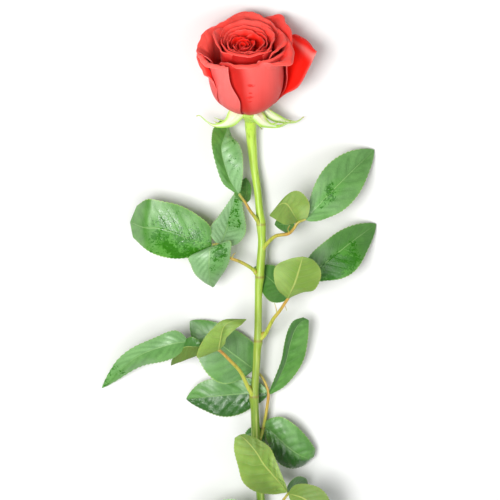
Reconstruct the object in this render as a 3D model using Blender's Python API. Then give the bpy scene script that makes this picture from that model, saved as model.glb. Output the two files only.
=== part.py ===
import math

import bmesh
import bpy
from mathutils import Vector

# A single cut rose lying on a table: +Y toward the bloom, +Z up, lengths below in millimetres
MM = 0.001
GAP = 0.3
BLADE = 0.66
STEM_SIDES = 10

# stem centre line from the receptacle to the cut end: x, y, z, radius
STEM = [
    (7.2, 139.5, 10.2, 3.5), (7.4, 134.0, 8.2, 3.4), (8.0, 125.0, 6.8, 3.0), (9.3, 111.0, 7.0, 2.5),
    (11.4, 97.0, 8.0, 2.3), (12.8, 83.0, 9.2, 2.4), (13.5, 76.5, 10.0, 2.9), (13.9, 70.0, 10.4, 2.5),
    (14.1, 63.0, 10.9, 2.5), (13.0, 48.0, 11.9, 2.7), (12.7, 43.5, 12.0, 2.9), (12.2, 38.0, 12.2, 2.4),
    (12.0, 29.0, 12.4, 2.3), (11.8, 13.0, 12.6, 2.3), (11.9, 5.0, 12.5, 2.7), (11.3, -1.0, 12.4, 2.4),
    (10.8, -10.0, 12.3, 2.3), (9.7, -25.0, 12.0, 2.4), (9.3, -30.0, 11.9, 3.0), (9.7, -37.0, 11.7, 2.6),
    (10.3, -53.0, 11.3, 2.6), (10.6, -64.0, 11.0, 3.0), (11.4, -70.0, 10.8, 2.6), (12.6, -84.0, 10.4, 2.6),
    (14.2, -104.0, 9.6, 2.7), (14.9, -117.0, 9.0, 3.1), (14.9, -124.0, 8.6, 2.7), (14.2, -145.0, 7.4, 2.8),
    (12.4, -163.0, 6.2, 3.2), (11.9, -171.0, 5.7, 2.9), (10.6, -199.0, 3.1, 3.0),
]
CUT_SLANT = 3.0
BUDS = [(10.4, 47.4, 13.2), (14.4, 8.4, 13.4), (7.2, -25.4, 12.6), (12.2, -59.0, 9.4)]
BUD_RADIUS = 1.5

# the bloom's own axes: base point, then right, front and along the flower
BLOOM_BASE = Vector((7.0, 143.0, 11.8))
RISE = math.radians(25.0)
LEAN = math.radians(2.5)
ALONG = Vector((-math.sin(LEAN), math.cos(LEAN) * math.cos(RISE), math.sin(RISE))).normalized()
RIGHT = Vector((1.0, 0.0, 0.0)) - ALONG * ALONG.x
RIGHT.normalize()
FRONT = RIGHT.cross(ALONG)

# petals: body radius and five rim points (degrees round the axis, radius, height); 90 faces front
PETALS = {
    "front_left": (22.0, [(110, 21.8, 46), (122, 27.2, 50), (137, 29.8, 50), (154, 30.0, 50),
                          (170, 28.6, 49)]),
    "front_right": (20.9, [(-8, 22.5, 46), (24, 24.0, 50), (56, 20.8, 53), (80, 24.4, 52),
                           (122, 21.0, 49)]),
    "right": (19.8, [(62, 20.0, 53), (46, 25.0, 50.5), (28, 31.5, 49), (12, 29.5, 51.5),
                     (-14, 24.5, 53)]),
    "left": (20.2, [(166, 26.0, 49), (177, 29.0, 48.5), (187, 29.2, 50), (198, 26.5, 52),
                    (216, 24.5, 53)]),
    "low_left": (22.8, [(152, 24.0, 33), (160, 27.0, 38), (168, 28.0, 43), (184, 27.6, 46),
                        (206, 25.0, 50)]),
    "back_left": (21.4, [(202, 23.5, 51.5), (219, 25.0, 53), (238, 26.0, 54.6), (256, 26.4, 55),
                         (274, 25.5, 54.5)]),
    "back": (20.2, [(258, 25.0, 54.5), (273, 26.8, 55.2), (289, 26.4, 54.8), (304, 25.6, 54.5),
                    (322, 25.0, 53)]),
    "back_right": (22.6, [(292, 26.0, 51.5), (300, 30.0, 53), (310, 33.4, 52.6), (330, 29.5, 52),
                          (352, 27.0, 49)]),
    "far_right": (23.6, [(-42, 28.0, 43.5), (-27, 33.0, 45), (-12, 37.5, 43.6), (1, 42.4, 40),
                         (12, 33.0, 25)]),
    "ring_right": (18.4, [(-46, 21.5, 54.5), (-20, 24.6, 54.5), (2, 24.4, 55), (26, 20.4, 54.5),
                          (56, 18.6, 53)]),
    "ring_left": (17.4, [(228, 22.0, 54), (206, 21.2, 55), (181, 18.6, 55), (155, 17.0, 55),
                         (122, 17.2, 54)]),
    "ring_front": (16.6, [(152, 16.8, 54), (126, 16.6, 55.5), (100, 16.2, 56.2), (76, 16.2, 56),
                          (44, 16.8, 54.5)]),
    "ring_back": (18.0, [(222, 19.5, 53), (247, 20.2, 55), (272, 20.4, 55.6), (296, 20.6, 55),
                         (322, 20.0, 53.5)]),
}
# inner whorls: radius, rim height, turn of the first petal; three petals in each
WHORLS = [(14.8, 56.0, 25), (12.4, 55.6, 80), (10.0, 54.8, 140), (7.6, 53.8, 200), (5.2, 52.8, 250),
          (2.8, 52.0, 310)]
WHORL_SPREAD = 68.0
CORE = [(0.0, 4.0), (5.0, 4.2), (12.6, 7.4), (17.9, 13.0), (19.2, 19.0), (18.4, 28.0), (16.0, 36.0),
        (8.0, 41.0), (0.0, 43.0)]

RECEPTACLE = [(0.0, -3.5), (3.5, -3.5), (4.6, -2.0), (5.8, 0.6), (5.9, 2.6), (4.8, 3.4), (0.0, 3.4)]
# sepals and leaflets: midrib points from base to tip, half widths of the left and of the right side
# near the base, halfway and near the tip, and how far the left and right edges stand above the midrib
SEPALS = [
    ([(3.4, 142.7, 15.0), (-0.5, 141.2, 16.8), (-4.4, 139.4, 17.2), (-9.0, 137.7, 16.4),
      (-14.5, 137.3, 15.2),
      (-20.4, 140.3, 13.5), (-24.9, 142.4, 12.0)], (5.4, 2.6, 2.0), (3.6, 2.6, 2.0), (-0.5, 0.5)),
    ([(8.5, 142.3, 16.4), (10.6, 141.6, 18.4), (13.4, 140.0, 19.4), (17.0, 138.4, 19.0),
      (22.3, 136.6, 17.5),
      (26.5, 137.2, 15.5), (29.8, 139.4, 14.0)], (3.0, 2.6, 2.0), (5.4, 2.8, 2.0), (0.5, -0.5)),
    ([(11.5, 143.9, 13.1), (16.0, 144.8, 12.2), (21.8, 143.2, 11.0), (29.2, 139.2, 9.0),
      (34.9, 138.0, 7.3),
      (38.8, 140.8, 6.5)], (2.8, 3.0, 2.2), (3.6, 3.0, 2.2), (0.5, 0.5)),
    ([(8.1, 145.4, 8.6), (9.4, 145.2, 5.4), (10.4, 141.5, 3.2), (11.6, 136.8, 2.2), (14.1, 132.4, 1.2)],
     (2.0, 3.4, 2.6), (2.6, 3.4, 2.6), (0.6, 0.6)),
    ([(3.6, 144.6, 9.8), (1.6, 144.4, 6.4), (-0.6, 141.2, 4.0), (-3.0, 137.0, 2.6), (-6.2, 132.8, 1.4)],
     (2.6, 3.4, 2.6), (2.0, 3.4, 2.6), (0.6, 0.6)),
]
SEPAL_HAIRS = [[(-6.6, 139.2, 16.6), (-10.9, 140.6, 16.0), (-14.5, 141.9, 15.0)],
               [(-9.7, 138.4, 16.2), (-12.7, 138.7, 15.2), (-14.8, 139.8, 14.2)],
               [(17.5, 138.3, 18.8), (22.3, 139.1, 18.6), (25.2, 140.2, 17.8)],
               [(22.3, 136.9, 17.8), (26.5, 138.2, 17.2), (28.8, 141.0, 16.2)]]

# compound leaves: stalks as points with start and end radius, then their leaflets
LEAVES = {
    "leaf_a": {
        "stalks": [([(13.5, 75.0, 10.2), (10.2, 80.9, 13.8), (6.9, 85.9, 16.2), (4.2, 90.7, 17.6),
                     (0.4, 96.5, 19.2)], 1.4, 0.8)],
        "leaflets": [
            ([(0.6, 96.0, 19.2), (-3.8, 104.5, 19.6), (-8.0, 114.5, 18.5), (-11.0, 124.5, 14.5),
              (-13.0, 139.0, 6.0)],
             (7.5, 5.2, 4.6), (7.0, 11.5, 11.5), (6.5, 3.0)),
            ([(4.3, 90.7, 17.4), (4.6, 94.0, 12.4), (5.0, 98.2, 8.6), (4.4, 104.0, 6.0)],
             (7.0, 7.5, 8.0), (3.0, 2.8, 3.2), (-2.0, 0.0))]},
    "leaf_b": {
        "stalks": [([(12.6, 44.4, 12.2), (9.4, 48.6, 13.6), (6.3, 51.3, 15.0), (0.9, 54.9, 17.6),
                     (-5.7, 58.4, 20.4),
                     (-8.8, 63.6, 22.0), (-11.6, 66.2, 22.0), (-15.4, 66.0, 20.8)], 1.4, 0.8),
                   ([(-3.9, 57.5, 19.6), (-3.0, 59.8, 20.8), (-1.5, 61.2, 21.2)], 0.4, 0.35)],
        "leaflets": [
            ([(-15.2, 66.0, 20.7), (-30.1, 70.0, 21.5), (-46.9, 73.6, 18.2), (-57.5, 74.6, 12.0),
              (-65.8, 74.0, 1.0)],
             (13.0, 17.0, 19.0), (17.0, 17.0, 22.0), (-2.0, -1.0)),
            ([(-12.0, 66.0, 22.0), (-16.4, 63.6, 26.2), (-18.0, 54.6, 25.0), (-15.7, 38.2, 14.0)],
             (13.0, 12.0, 9.5), (13.0, 12.0, 10.5), (-4.0, -4.0)),
            ([(-10.8, 65.8, 21.9), (-7.6, 73.2, 15.8), (-4.5, 82.4, 9.5), (-0.4, 96.0, 4.0)],
             (11.5, 8.0, 6.0), (11.5, 11.3, 9.0), (2.0, -0.5))]},
    "leaf_c": {
        "stalks": [([(14.1, 60.4, 11.2), (17.4, 65.7, 14.5), (22.4, 70.7, 18.0), (29.6, 72.7, 21.2),
                     (32.8, 76.0, 23.0),
                     (35.4, 80.0, 23.8), (40.0, 82.0, 23.0)], 1.4, 0.8),
                   ([(30.2, 73.2, 21.6), (29.5, 76.0, 23.0), (30.7, 78.5, 23.5)], 0.4, 0.35)],
        "leaflets": [
            ([(39.6, 81.8, 23.1), (51.5, 94.7, 22.5), (66.5, 108.3, 14.5), (81.4, 120.0, 1.0)],
             (9.5, 13.8, 15.5), (13.0, 14.0, 13.5), (1.0, -2.0)),
            ([(34.8, 79.6, 23.6), (29.7, 88.6, 31.5), (24.6, 91.0, 35.0), (18.4, 87.0, 34.0)],
             (6.0, 6.0, 6.0), (12.0, 12.0, 5.0), (-1.0, 3.0)),
            ([(33.4, 77.0, 22.8), (28.5, 77.2, 15.0), (21.8, 75.4, 7.0)], (5.5, 6.0, 6.0),
             (5.5, 6.0, 6.0), (0.0, 0.0))]},
    "leaf_d": {
        "stalks": [([(11.9, 5.0, 12.6), (16.0, 9.4, 15.0), (20.7, 19.8, 20.0), (24.9, 26.1, 23.0),
                     (29.6, 34.4, 27.0),
                     (34.4, 41.0, 25.0), (39.8, 46.5, 22.1)], 1.5, 0.8),
                   ([(23.1, 23.6, 21.8), (22.5, 27.6, 23.2), (21.6, 30.7, 23.4)], 0.4, 0.35),
                   ([(25.6, 27.4, 23.8), (27.8, 29.5, 25.5), (28.8, 26.7, 25.5)], 0.4, 0.35)],
        "leaflets": [
            ([(39.4, 46.1, 22.2), (52.3, 55.5, 21.5), (66.9, 65.6, 14.0), (83.0, 74.6, 1.0)],
             (10.5, 10.6, 12.0), (11.5, 16.0, 16.0), (1.0, -2.0)),
            ([(29.7, 34.6, 27.3), (32.6, 45.0, 37.5), (35.2, 55.0, 45.0), (37.4, 61.8, 48.0)],
             (9.5, 14.5, 21.0), (12.0, 16.5, 21.0), (-2.0, 2.0)),
            ([(29.2, 34.0, 26.6), (21.6, 41.0, 14.0), (9.6, 48.5, 3.0)],
             (10.0, 10.0, 10.0), (10.0, 10.0, 10.0), (0.0, 0.0))]},
    "leaf_e": {
        "stalks": [([(9.3, -30.6, 12.2), (6.0, -23.9, 16.0), (1.2, -12.3, 22.0), (-4.8, -4.1, 27.0),
                     (-11.7, 3.7, 31.0),
                     (-17.7, 5.1, 29.0), (-23.1, 5.2, 26.2), (-31.0, 7.2, 23.4)], 1.5, 0.8)],
        "leaflets": [
            ([(-30.6, 7.1, 23.5), (-43.0, 5.3, 25.0), (-62.6, -4.6, 18.0), (-83.8, -27.9, 1.0)],
             (10.5, 10.0, 8.0), (8.5, 5.5, 8.5), (-5.0, -3.0)),
            ([(-11.7, 3.4, 31.0), (-10.5, 13.6, 38.6), (-6.7, 20.6, 42.0), (4.5, 24.2, 38.0)],
             (15.0, 8.5, 4.5), (4.0, 5.0, 4.5), (-4.0, 1.0)),
            ([(-20.6, 5.0, 27.4), (-27.4, 3.6, 23.4), (-34.1, -0.8, 19.0), (-40.7, -10.6, 12.0)],
             (6.5, 6.0, 5.0), (6.0, 5.0, 3.5), (-2.0, 2.0))]},
    "leaf_f": {
        "stalks": [([(11.0, -64.4, 10.2), (12.6, -59.6, 6.6), (14.9, -52.3, 5.8), (17.3, -38.8, 6.4),
                     (18.0, -28.5, 7.0),
                     (14.2, -19.6, 6.2), (9.0, -14.6, 5.5)], 1.4, 0.8)],
        "leaflets": [
            ([(9.2, -14.8, 5.5), (-1.6, -6.1, 7.0), (-16.2, 5.2, 7.0), (-29.6, 14.5, 2.0)],
             (15.5, 17.0, 15.0), (14.0, 12.5, 11.5), (-2.0, -2.0)),
            ([(17.6, -29.2, 6.9), (2.6, -30.5, 4.4), (-15.7, -31.8, 5.6), (-32.1, -34.9, 1.0)],
             (10.0, 14.5, 14.0), (10.5, 10.5, 14.0), (-1.0, 0.0)),
            ([(18.3, -28.4, 7.3), (28.1, -14.1, 13.5), (34.7, 1.6, 17.5), (42.2, 17.9, 12.0)],
             (5.0, 8.0, 14.0), (8.5, 8.2, 6.5), (7.0, -5.0)),
            ([(15.1, -51.3, 6.0), (23.4, -56.6, 10.5), (33.8, -64.0, 11.0), (46.9, -66.9, 4.0)],
             (11.0, 11.7, 10.5), (10.0, 12.5, 13.5), (0.0, -3.0)),
            ([(14.6, -52.6, 5.8), (9.4, -57.8, 4.2), (5.1, -67.0, 2.6), (3.2, -76.6, 1.2)],
             (8.0, 9.0, 9.0), (8.0, 9.0, 9.0), (0.0, 0.0))]},
    "leaf_g": {
        "stalks": [([(14.9, -117.6, 9.2), (17.4, -111.4, 11.6), (19.8, -105.8, 14.0),
                     (25.2, -96.1, 21.0),
                     (30.3, -86.6, 28.0)], 1.5, 0.8)],
        "leaflets": [
            ([(29.8, -87.4, 27.5), (21.1, -74.8, 37.5), (11.7, -57.8, 44.0), (1.8, -46.5, 41.0)],
             (12.0, 15.8, 15.5), (6.5, 7.5, 9.0), (3.0, -2.0)),
            ([(30.4, -86.9, 27.7), (39.5, -88.0, 34.5), (48.0, -95.0, 36.0), (56.2, -108.6, 28.0)],
             (9.0, 11.0, 11.0), (11.0, 12.5, 12.0), (0.0, -3.0)),
            ([(29.8, -87.4, 27.3), (33.5, -86.0, 20.0), (38.0, -87.0, 11.0), (42.0, -90.3, 4.0)],
             (5.0, 6.5, 6.0), (5.0, 6.5, 6.0), (0.0, 0.0))]},
    "leaf_h": {
        "stalks": [([(12.2, -165.4, 6.4), (14.4, -157.0, 9.4), (16.8, -147.8, 13.0),
                     (18.0, -129.8, 19.6), (14.2, -116.6, 24.0),
                     (11.2, -108.9, 26.6)], 1.5, 0.8)],
        "leaflets": [
            ([(11.8, -109.6, 26.4), (0.8, -105.0, 29.4), (-12.1, -104.6, 26.0), (-27.7, -110.9, 14.0)],
             (12.0, 13.5, 13.0), (12.0, 13.5, 13.0), (-3.0, -1.0)),
            ([(17.5, -125.0, 21.4), (28.4, -127.2, 21.0), (41.4, -136.4, 15.0), (53.5, -151.0, 4.0)],
             (12.5, 13.5, 13.0), (12.5, 13.5, 13.0), (-1.0, -1.0)),
            ([(17.3, -125.6, 21.0), (5.7, -129.1, 21.5), (-8.6, -140.9, 15.0), (-20.4, -157.1, 4.0)],
             (12.5, 13.5, 13.0), (12.5, 13.5, 13.0), (-1.0, -1.0))]},
}

# colour and roughness
LOOKS = {
    "petal": ((0.82, 0.075, 0.05), 0.6),
    "leaf": ((0.075, 0.21, 0.05), 0.35),
    "stem": ((0.36, 0.55, 0.10), 0.45),
    "calyx": ((0.42, 0.58, 0.20), 0.5),
}


# start from an empty scene
def clear():
    for obj in list(bpy.data.objects):
        bpy.data.objects.remove(obj, do_unlink=True)


def material(name, look):
    color, roughness = LOOKS[look]
    mat = bpy.data.materials.new(name)
    mat.use_nodes = True
    shader = mat.node_tree.nodes["Principled BSDF"]
    shader.inputs["Base Color"].default_value = (*color, 1.0)
    shader.inputs["Roughness"].default_value = roughness
    shader.inputs["Metallic"].default_value = 0.0
    return mat


def mesh_object(name, points, faces):
    mesh = bpy.data.meshes.new(name)
    mesh.from_pydata([Vector(p) * MM for p in points], [], faces)
    obj = bpy.data.objects.new(name, mesh)
    bpy.context.scene.collection.objects.link(obj)
    outward(mesh)
    return obj


def outward(mesh):
    bm = bmesh.new()
    bm.from_mesh(mesh)
    bmesh.ops.recalc_face_normals(bm, faces=bm.faces)
    bmesh.ops.triangulate(bm, faces=bm.faces)
    bm.to_mesh(mesh)
    bm.free()


# a smooth curve through the given points, t from 0 to 1
def along_points(points, t):
    last = len(points) - 1
    place = min(max(t, 0.0), 1.0) * last
    i = min(int(place), last - 1)
    f = place - i
    a, b = points[i], points[i + 1]
    before = points[i - 1] if i > 0 else [2 * p - q for p, q in zip(a, b)]
    after = points[i + 2] if i + 2 <= last else [2 * q - p for p, q in zip(a, b)]
    return [0.5 * (2 * p1 + (p2 - p0) * f + (2 * p0 - 5 * p1 + 4 * p2 - p3) * f * f
                   + (3 * p1 - p0 - 3 * p2 + p3) * f ** 3)
            for p0, p1, p2, p3 in zip(before, a, b, after)]


def direction(points, t):
    ahead = Vector(along_points(points, t + 0.02)[:3])
    behind = Vector(along_points(points, t - 0.02)[:3])
    return (ahead - behind).normalized()


# a round bar of changing radius along x, y, z, radius points
def tube(name, points, sides, steps, slant=0.0, grow=0.0):
    rings, faces = [], []
    side = Vector((1.0, 0.0, 0.0)) if abs(direction(points, 0.0).x) < 0.9 else Vector((0.0, 0.0, 1.0))
    for k in range(steps + 1):
        x, y, z, radius = along_points(points, k / steps)
        ahead = direction(points, k / steps)
        side = (side - ahead * side.dot(ahead)).normalized()
        up = ahead.cross(side)
        for j in range(sides):
            turn = 2.0 * math.pi * j / sides
            offset = (side * math.cos(turn) + up * math.sin(turn)) * (radius + grow)
            lead = ahead * (slant * math.sin(turn) if k == steps else 0.0)
            rings.append(Vector((x, y, z)) + offset + lead)
    for k in range(steps):
        for j in range(sides):
            n = (j + 1) % sides
            faces.append((k * sides + j, k * sides + n, (k + 1) * sides + n, (k + 1) * sides + j))
    faces.append(tuple(range(sides)))
    faces.append(tuple(steps * sides + j for j in range(sides)))
    return mesh_object(name, rings, faces)


def ball(name, center, radius, squeeze=1.0):
    points = [Vector(center) + Vector((0.0, 0.0, radius))]
    for ring in (0.3, 0.55, 0.8):
        for j in range(8):
            turn = math.pi * j / 4.0
            flat = radius * math.sin(math.pi * ring)
            points.append(Vector(center) + Vector((flat * math.cos(turn), squeeze * flat * math.sin(turn),
                                                   radius * math.cos(math.pi * ring))))
    points.append(Vector(center) - Vector((0.0, 0.0, radius)))
    faces = [(0, 1 + j, 1 + (j + 1) % 8) for j in range(8)]
    for ring in range(2):
        a = 1 + 8 * ring
        faces += [(a + j, a + 8 + j, a + 8 + (j + 1) % 8, a + (j + 1) % 8) for j in range(8)]
    faces += [(25, 17 + (j + 1) % 8, 17 + j) for j in range(8)]
    return mesh_object(name, points, faces)


# two like faces of triangles, half a blade above and below the grid, joined round the rim
def blade(name, grid, thick, teeth=0.0):
    rows, cols = len(grid), len(grid[0])
    flat = [Vector(p) for row in grid for p in row]
    normals = []
    for i in range(rows):
        for j in range(cols):
            across = grid[i][min(j + 1, cols - 1)] - grid[i][max(j - 1, 0)]
            length = grid[min(i + 1, rows - 1)][j] - grid[max(i - 1, 0)][j]
            normals.append(across.cross(length).normalized())
    tris, left, right = [], [0], [cols - 1]
    for i in range(rows - 1):
        for j in range(cols - 1):
            a, b = i * cols + j, i * cols + j + 1
            c, d = a + cols, b + cols
            if teeth and j in (0, cols - 2):
                inner, edge, edge_on, inner_on = (b, a, c, d) if j == 0 else (a, b, d, c)
                out = (flat[edge] - flat[inner]).normalized()
                reach = teeth * min(1.0, (flat[edge] - flat[inner]).length / 5.0)
                tip = flat[edge] * 0.35 + flat[edge_on] * 0.65 + out * reach
                flat.append(tip)
                normals.append((normals[edge] + normals[edge_on]).normalized())
                k = len(flat) - 1
                (left if j == 0 else right).append(k)
                tris += [(inner, edge, k), (inner, k, inner_on), (inner_on, k, edge_on)]
            elif (i + j) % 2:
                tris += [(a, b, d), (a, d, c)]
            else:
                tris += [(a, b, c), (b, d, c)]
        left.append((i + 1) * cols)
        right.append((i + 1) * cols + cols - 1)
    count = len(flat)
    points = [p + n * thick / 2 for p, n in zip(flat, normals)]
    points += [p - n * thick / 2 for p, n in zip(flat, normals)]
    faces = list(tris) + [(c + count, b + count, a + count) for a, b, c in tris]
    far_end = [(rows - 1) * cols + j for j in range(1, cols - 1)]
    rim = left + far_end + right[::-1] + [j for j in range(cols - 2, 0, -1)]
    for a, b in zip(rim, rim[1:] + rim[:1]):
        faces.append((a, b, b + count, a + count))
    return mesh_object(name, points, faces)


# one leaflet or sepal round its midrib
def leaflet(name, spec, rows, teeth, sepal=False):
    midrib, left, right, lift = spec
    grid = []
    for i in range(rows + 1):
        t = i / rows
        center = Vector(along_points(midrib, t))
        side = direction(midrib, t).cross(Vector((0.0, 0.0, 1.0))).normalized()
        shape = t ** 0.6 * (1.0 - t) ** 0.8 / 0.384
        if sepal:
            shape = min(1.0, 0.75 + 1.2 * t) * (1.0 - t) ** 1.1 * 1.15
        least = 0.9 * (1.0 - t) + 0.3 * t
        line = []
        for v in (-1.0, -0.5, 0.0, 0.5, 1.0):
            widths, rise = (left, lift[0]) if v < 0.0 else (right, lift[1])
            half = max(shape * along_points([[w] for w in widths], (t - 0.2) / 0.6)[0], least)
            line.append(center + side * half * v + Vector((0.0, 0.0, rise * min(shape, 1.0) * abs(v) ** 1.4)))
        grid.append(line)
    return blade(name, grid, BLADE, teeth)


def in_bloom(turn, radius, height):
    a = math.radians(turn)
    return BLOOM_BASE + RIGHT * (radius * math.cos(a)) + FRONT * (radius * math.sin(a)) + ALONG * height


# one petal from its foot over the body to a flared rim
def petal(name, body, rim, rows, cols, foot=None):
    middle = sum(p[0] for p in rim) / len(rim)
    grid = []
    for i in range(rows + 1):
        t = i / rows
        line = []
        for j in range(cols + 1):
            u = 2.0 * j / cols - 1.0
            turn, out, height = along_points(rim, j / cols)
            wide = 0.35 + 0.65 * min(1.0, t / 0.45) + 2.0 * t * (1.0 - t) ** 1.5
            turn = middle + (turn - middle) * wide
            spread = out - body
            curve = foot or [(2.5, 4.7), (body * 0.5, 7.2), (body * 0.87, 15.0), (body, 25.0),
                             (body + 0.04 * spread, 35.0)]
            curve = [(r, min(h, height * (0.15 + 0.17 * k))) for k, (r, h) in enumerate(curve)]
            curve = curve + [(body + 0.45 * spread, height - 3.2), (out, height)]
            radius, level = along_points(curve, t)
            line.append(in_bloom(turn, radius + 0.35 * u, level))
        grid.append(line)
    return blade(name, grid, BLADE)


def revolve(name, profile, sides):
    faces = []
    inner = profile[1:-1]
    points = [in_bloom(0.0, 0.0, profile[0][1])]
    for r, h in inner:
        points += [in_bloom(360.0 * j / sides, r, h) for j in range(sides)]
    points.append(in_bloom(0.0, 0.0, profile[-1][1]))
    for k in range(len(inner) - 1):
        for j in range(sides):
            n = (j + 1) % sides
            a = 1 + k * sides
            faces.append((a + j, a + n, a + sides + n, a + sides + j))
    end = len(points) - 1
    faces += [(0, 1 + (j + 1) % sides, 1 + j) for j in range(sides)]
    faces += [(end, end - sides + j, end - sides + (j + 1) % sides) for j in range(sides)]
    return mesh_object(name, points, faces)


def apply_boolean(obj, operation, other=None, group=None, solver="MANIFOLD"):
    mod = obj.modifiers.new("join", "BOOLEAN")
    mod.operation = operation
    mod.solver = solver
    if group:
        mod.operand_type = "COLLECTION"
        mod.collection = group
    else:
        mod.object = other
    graph = bpy.context.evaluated_depsgraph_get()
    mesh = bpy.data.meshes.new_from_object(obj.evaluated_get(graph))
    obj.modifiers.clear()
    old = obj.data
    obj.data = mesh
    bpy.data.meshes.remove(old)


# join the pieces of one node into a single body
def fuse(name, pieces, look):
    base = pieces[0]
    group = bpy.data.collections.new(name + "_parts")
    bpy.context.scene.collection.children.link(group)
    for piece in pieces[1:]:
        bpy.context.scene.collection.objects.unlink(piece)
        group.objects.link(piece)
    if len(pieces) > 1:
        apply_boolean(base, "UNION", group=group)
    for piece in pieces[1:]:
        bpy.data.objects.remove(piece, do_unlink=True)
    bpy.data.collections.remove(group)
    base.name = name
    base.data.name = name
    keep_outside(base)
    base.data.materials.clear()
    base.data.materials.append(material(name, look))
    base.data.shade_smooth()
    return base


# keep the one outer body: fill sealed hollows and drop loose scraps
def keep_outside(obj):
    bm = bmesh.new()
    bm.from_mesh(obj.data)
    bmesh.ops.triangulate(bm, faces=bm.faces)
    islands, seen = [], set()
    for face in bm.faces:
        if face in seen:
            continue
        island, stack = [], [face]
        seen.add(face)
        while stack:
            current = stack.pop()
            island.append(current)
            for edge in current.edges:
                for other in edge.link_faces:
                    if other not in seen:
                        seen.add(other)
                        stack.append(other)
        volume = sum(f.verts[0].co.dot(f.verts[1].co.cross(f.verts[2].co)) for f in island) / 6.0
        islands.append((volume, island))
    islands.sort(key=lambda item: item[0], reverse=True)
    for _, island in islands[1:]:
        bmesh.ops.delete(bm, geom=island, context="FACES")
    loose = [v for v in bm.verts if not v.link_faces]
    bmesh.ops.delete(bm, geom=loose, context="VERTS")
    bm.to_mesh(obj.data)
    bm.free()


def stem_pieces(name, grow):
    pieces = [tube(name, STEM, STEM_SIDES, 38, CUT_SLANT, grow)]
    pieces += [ball(name + "_bud", b, BUD_RADIUS + grow, 1.3) for b in BUDS]
    return pieces


def make_bloom():
    pieces = [revolve("core", CORE, 16)]
    for name, (body, rim) in PETALS.items():
        inner = name.startswith("ring")
        foot = [(body - 1.5, 28.0), (body - 0.3, 40.0), (body, 48.0)] if inner else None
        pieces.append(petal(name, body, rim, 2 if inner else 5, 6, foot))
    for radius, height, start in WHORLS:
        for k in range(3):
            mid = start + 120.0 * k
            spread = WHORL_SPREAD
            rim = [(mid - spread, radius + 1.0, height - 2.5),
                   (mid - spread / 2, radius + 0.8, height - 0.4),
                   (mid, radius + 0.4, height), (mid + spread / 2, radius - 0.2, height - 0.4),
                   (mid + spread, radius - 0.7, height - 2.5)]
            foot = [(radius - 0.4, 39.0), (radius, 46.0)]
            pieces.append(petal("whorl", radius, rim, 2, 4, foot))
    return fuse("bloom", pieces, "petal")


def make_calyx():
    pieces = [revolve("receptacle", RECEPTACLE, 12)]
    for spec in SEPALS:
        pieces.append(leaflet("sepal", spec, 5, 0.0, sepal=True))
    for points in SEPAL_HAIRS:
        pieces.append(tube("hair", [(*p, r) for p, r in zip(points, (0.6, 0.45, 0.32))], 5, 3))
    return fuse("calyx", pieces, "calyx")


def make_leaf(name, spec):
    pieces = []
    for points, start, end in spec["stalks"]:
        last = len(points) - 1
        bar = [(*p, end + (start - end) * (1.0 - k / last) ** 2) for k, p in enumerate(points)]
        pieces.append(tube("stalk", bar, 6, 2 * last - 2 if last > 2 else last))
    for k, shape in enumerate(spec["leaflets"]):
        pieces.append(leaflet("leaflet", shape, 7 if k == 0 else 6, 0.7))
    return fuse(name, pieces, "leaf")


def main():
    clear()
    fuse("stem", stem_pieces("stem", 0.0), "stem")
    make_calyx()
    make_bloom()
    hollow = fuse("clearance", stem_pieces("clearance", GAP), "stem")
    hollow.hide_render = True
    hollow.display_type = "WIRE"
    for name, spec in LEAVES.items():
        leaf = make_leaf(name, spec)
        apply_boolean(leaf, "DIFFERENCE", other=hollow)
        keep_outside(leaf)
    bpy.data.objects.remove(hollow, do_unlink=True)


main()
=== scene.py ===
import math

import bpy
import numpy as np
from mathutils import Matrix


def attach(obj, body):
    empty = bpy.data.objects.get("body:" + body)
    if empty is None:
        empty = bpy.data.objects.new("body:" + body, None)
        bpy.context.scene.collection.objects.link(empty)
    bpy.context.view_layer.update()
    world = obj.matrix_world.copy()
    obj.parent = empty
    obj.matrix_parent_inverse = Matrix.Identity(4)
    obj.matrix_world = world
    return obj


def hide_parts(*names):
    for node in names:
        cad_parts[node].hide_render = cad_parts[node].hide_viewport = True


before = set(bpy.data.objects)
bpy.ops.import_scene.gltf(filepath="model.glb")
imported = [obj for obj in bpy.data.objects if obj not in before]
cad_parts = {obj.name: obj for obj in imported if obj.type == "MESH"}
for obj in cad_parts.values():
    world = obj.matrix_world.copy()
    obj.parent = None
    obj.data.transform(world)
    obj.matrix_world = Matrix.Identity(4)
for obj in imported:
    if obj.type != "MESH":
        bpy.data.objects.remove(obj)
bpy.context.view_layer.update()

mm = 0.001
up = np.array([0.0, 0.0, 1.0])
print("frame:", len(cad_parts), "nodes")


# tools for curves and sheets, all in mm until they become a mesh

def pathPoints(points, t):  # a smooth curve through the points, t from 0 to 1
    pts = np.asarray(points, float)
    pts = np.concatenate([[2 * pts[0] - pts[1]], pts, [2 * pts[-1] - pts[-2]]])
    spans = np.clip(t, 0.0, 1.0) * (len(pts) - 3)
    i = np.minimum(spans.astype(int), len(pts) - 4)
    f = (spans - i).reshape(spans.shape + (1,) * (pts.ndim - 1))
    a, b, c, d = pts[i], pts[i + 1], pts[i + 2], pts[i + 3]
    return 0.5 * (2 * b + (c - a) * f + (2 * a - 5 * b + 4 * c - d) * f ** 2 + (3 * b - a - 3 * c + d) * f ** 3)


def unit(v):
    return v / np.maximum(np.linalg.norm(v, axis=-1, keepdims=True), 1e-9)


def pathAhead(points, t):
    return unit(pathPoints(points, t + 0.02) - pathPoints(points, t - 0.02))


def smooth(x, low, high):
    x = np.clip((x - low) / (high - low), 0.0, 1.0)
    return x * x * (3 - 2 * x)


def storeMark(mesh, name, values):
    mesh.attributes.new(name, "FLOAT", "POINT").data.foreach_set("value", np.asarray(values, np.float32))


def vertexSpots(mesh):
    spots = np.empty(len(mesh.vertices) * 3, np.float32)
    mesh.vertices.foreach_get("co", spots)
    return spots.reshape(-1, 3)


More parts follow.
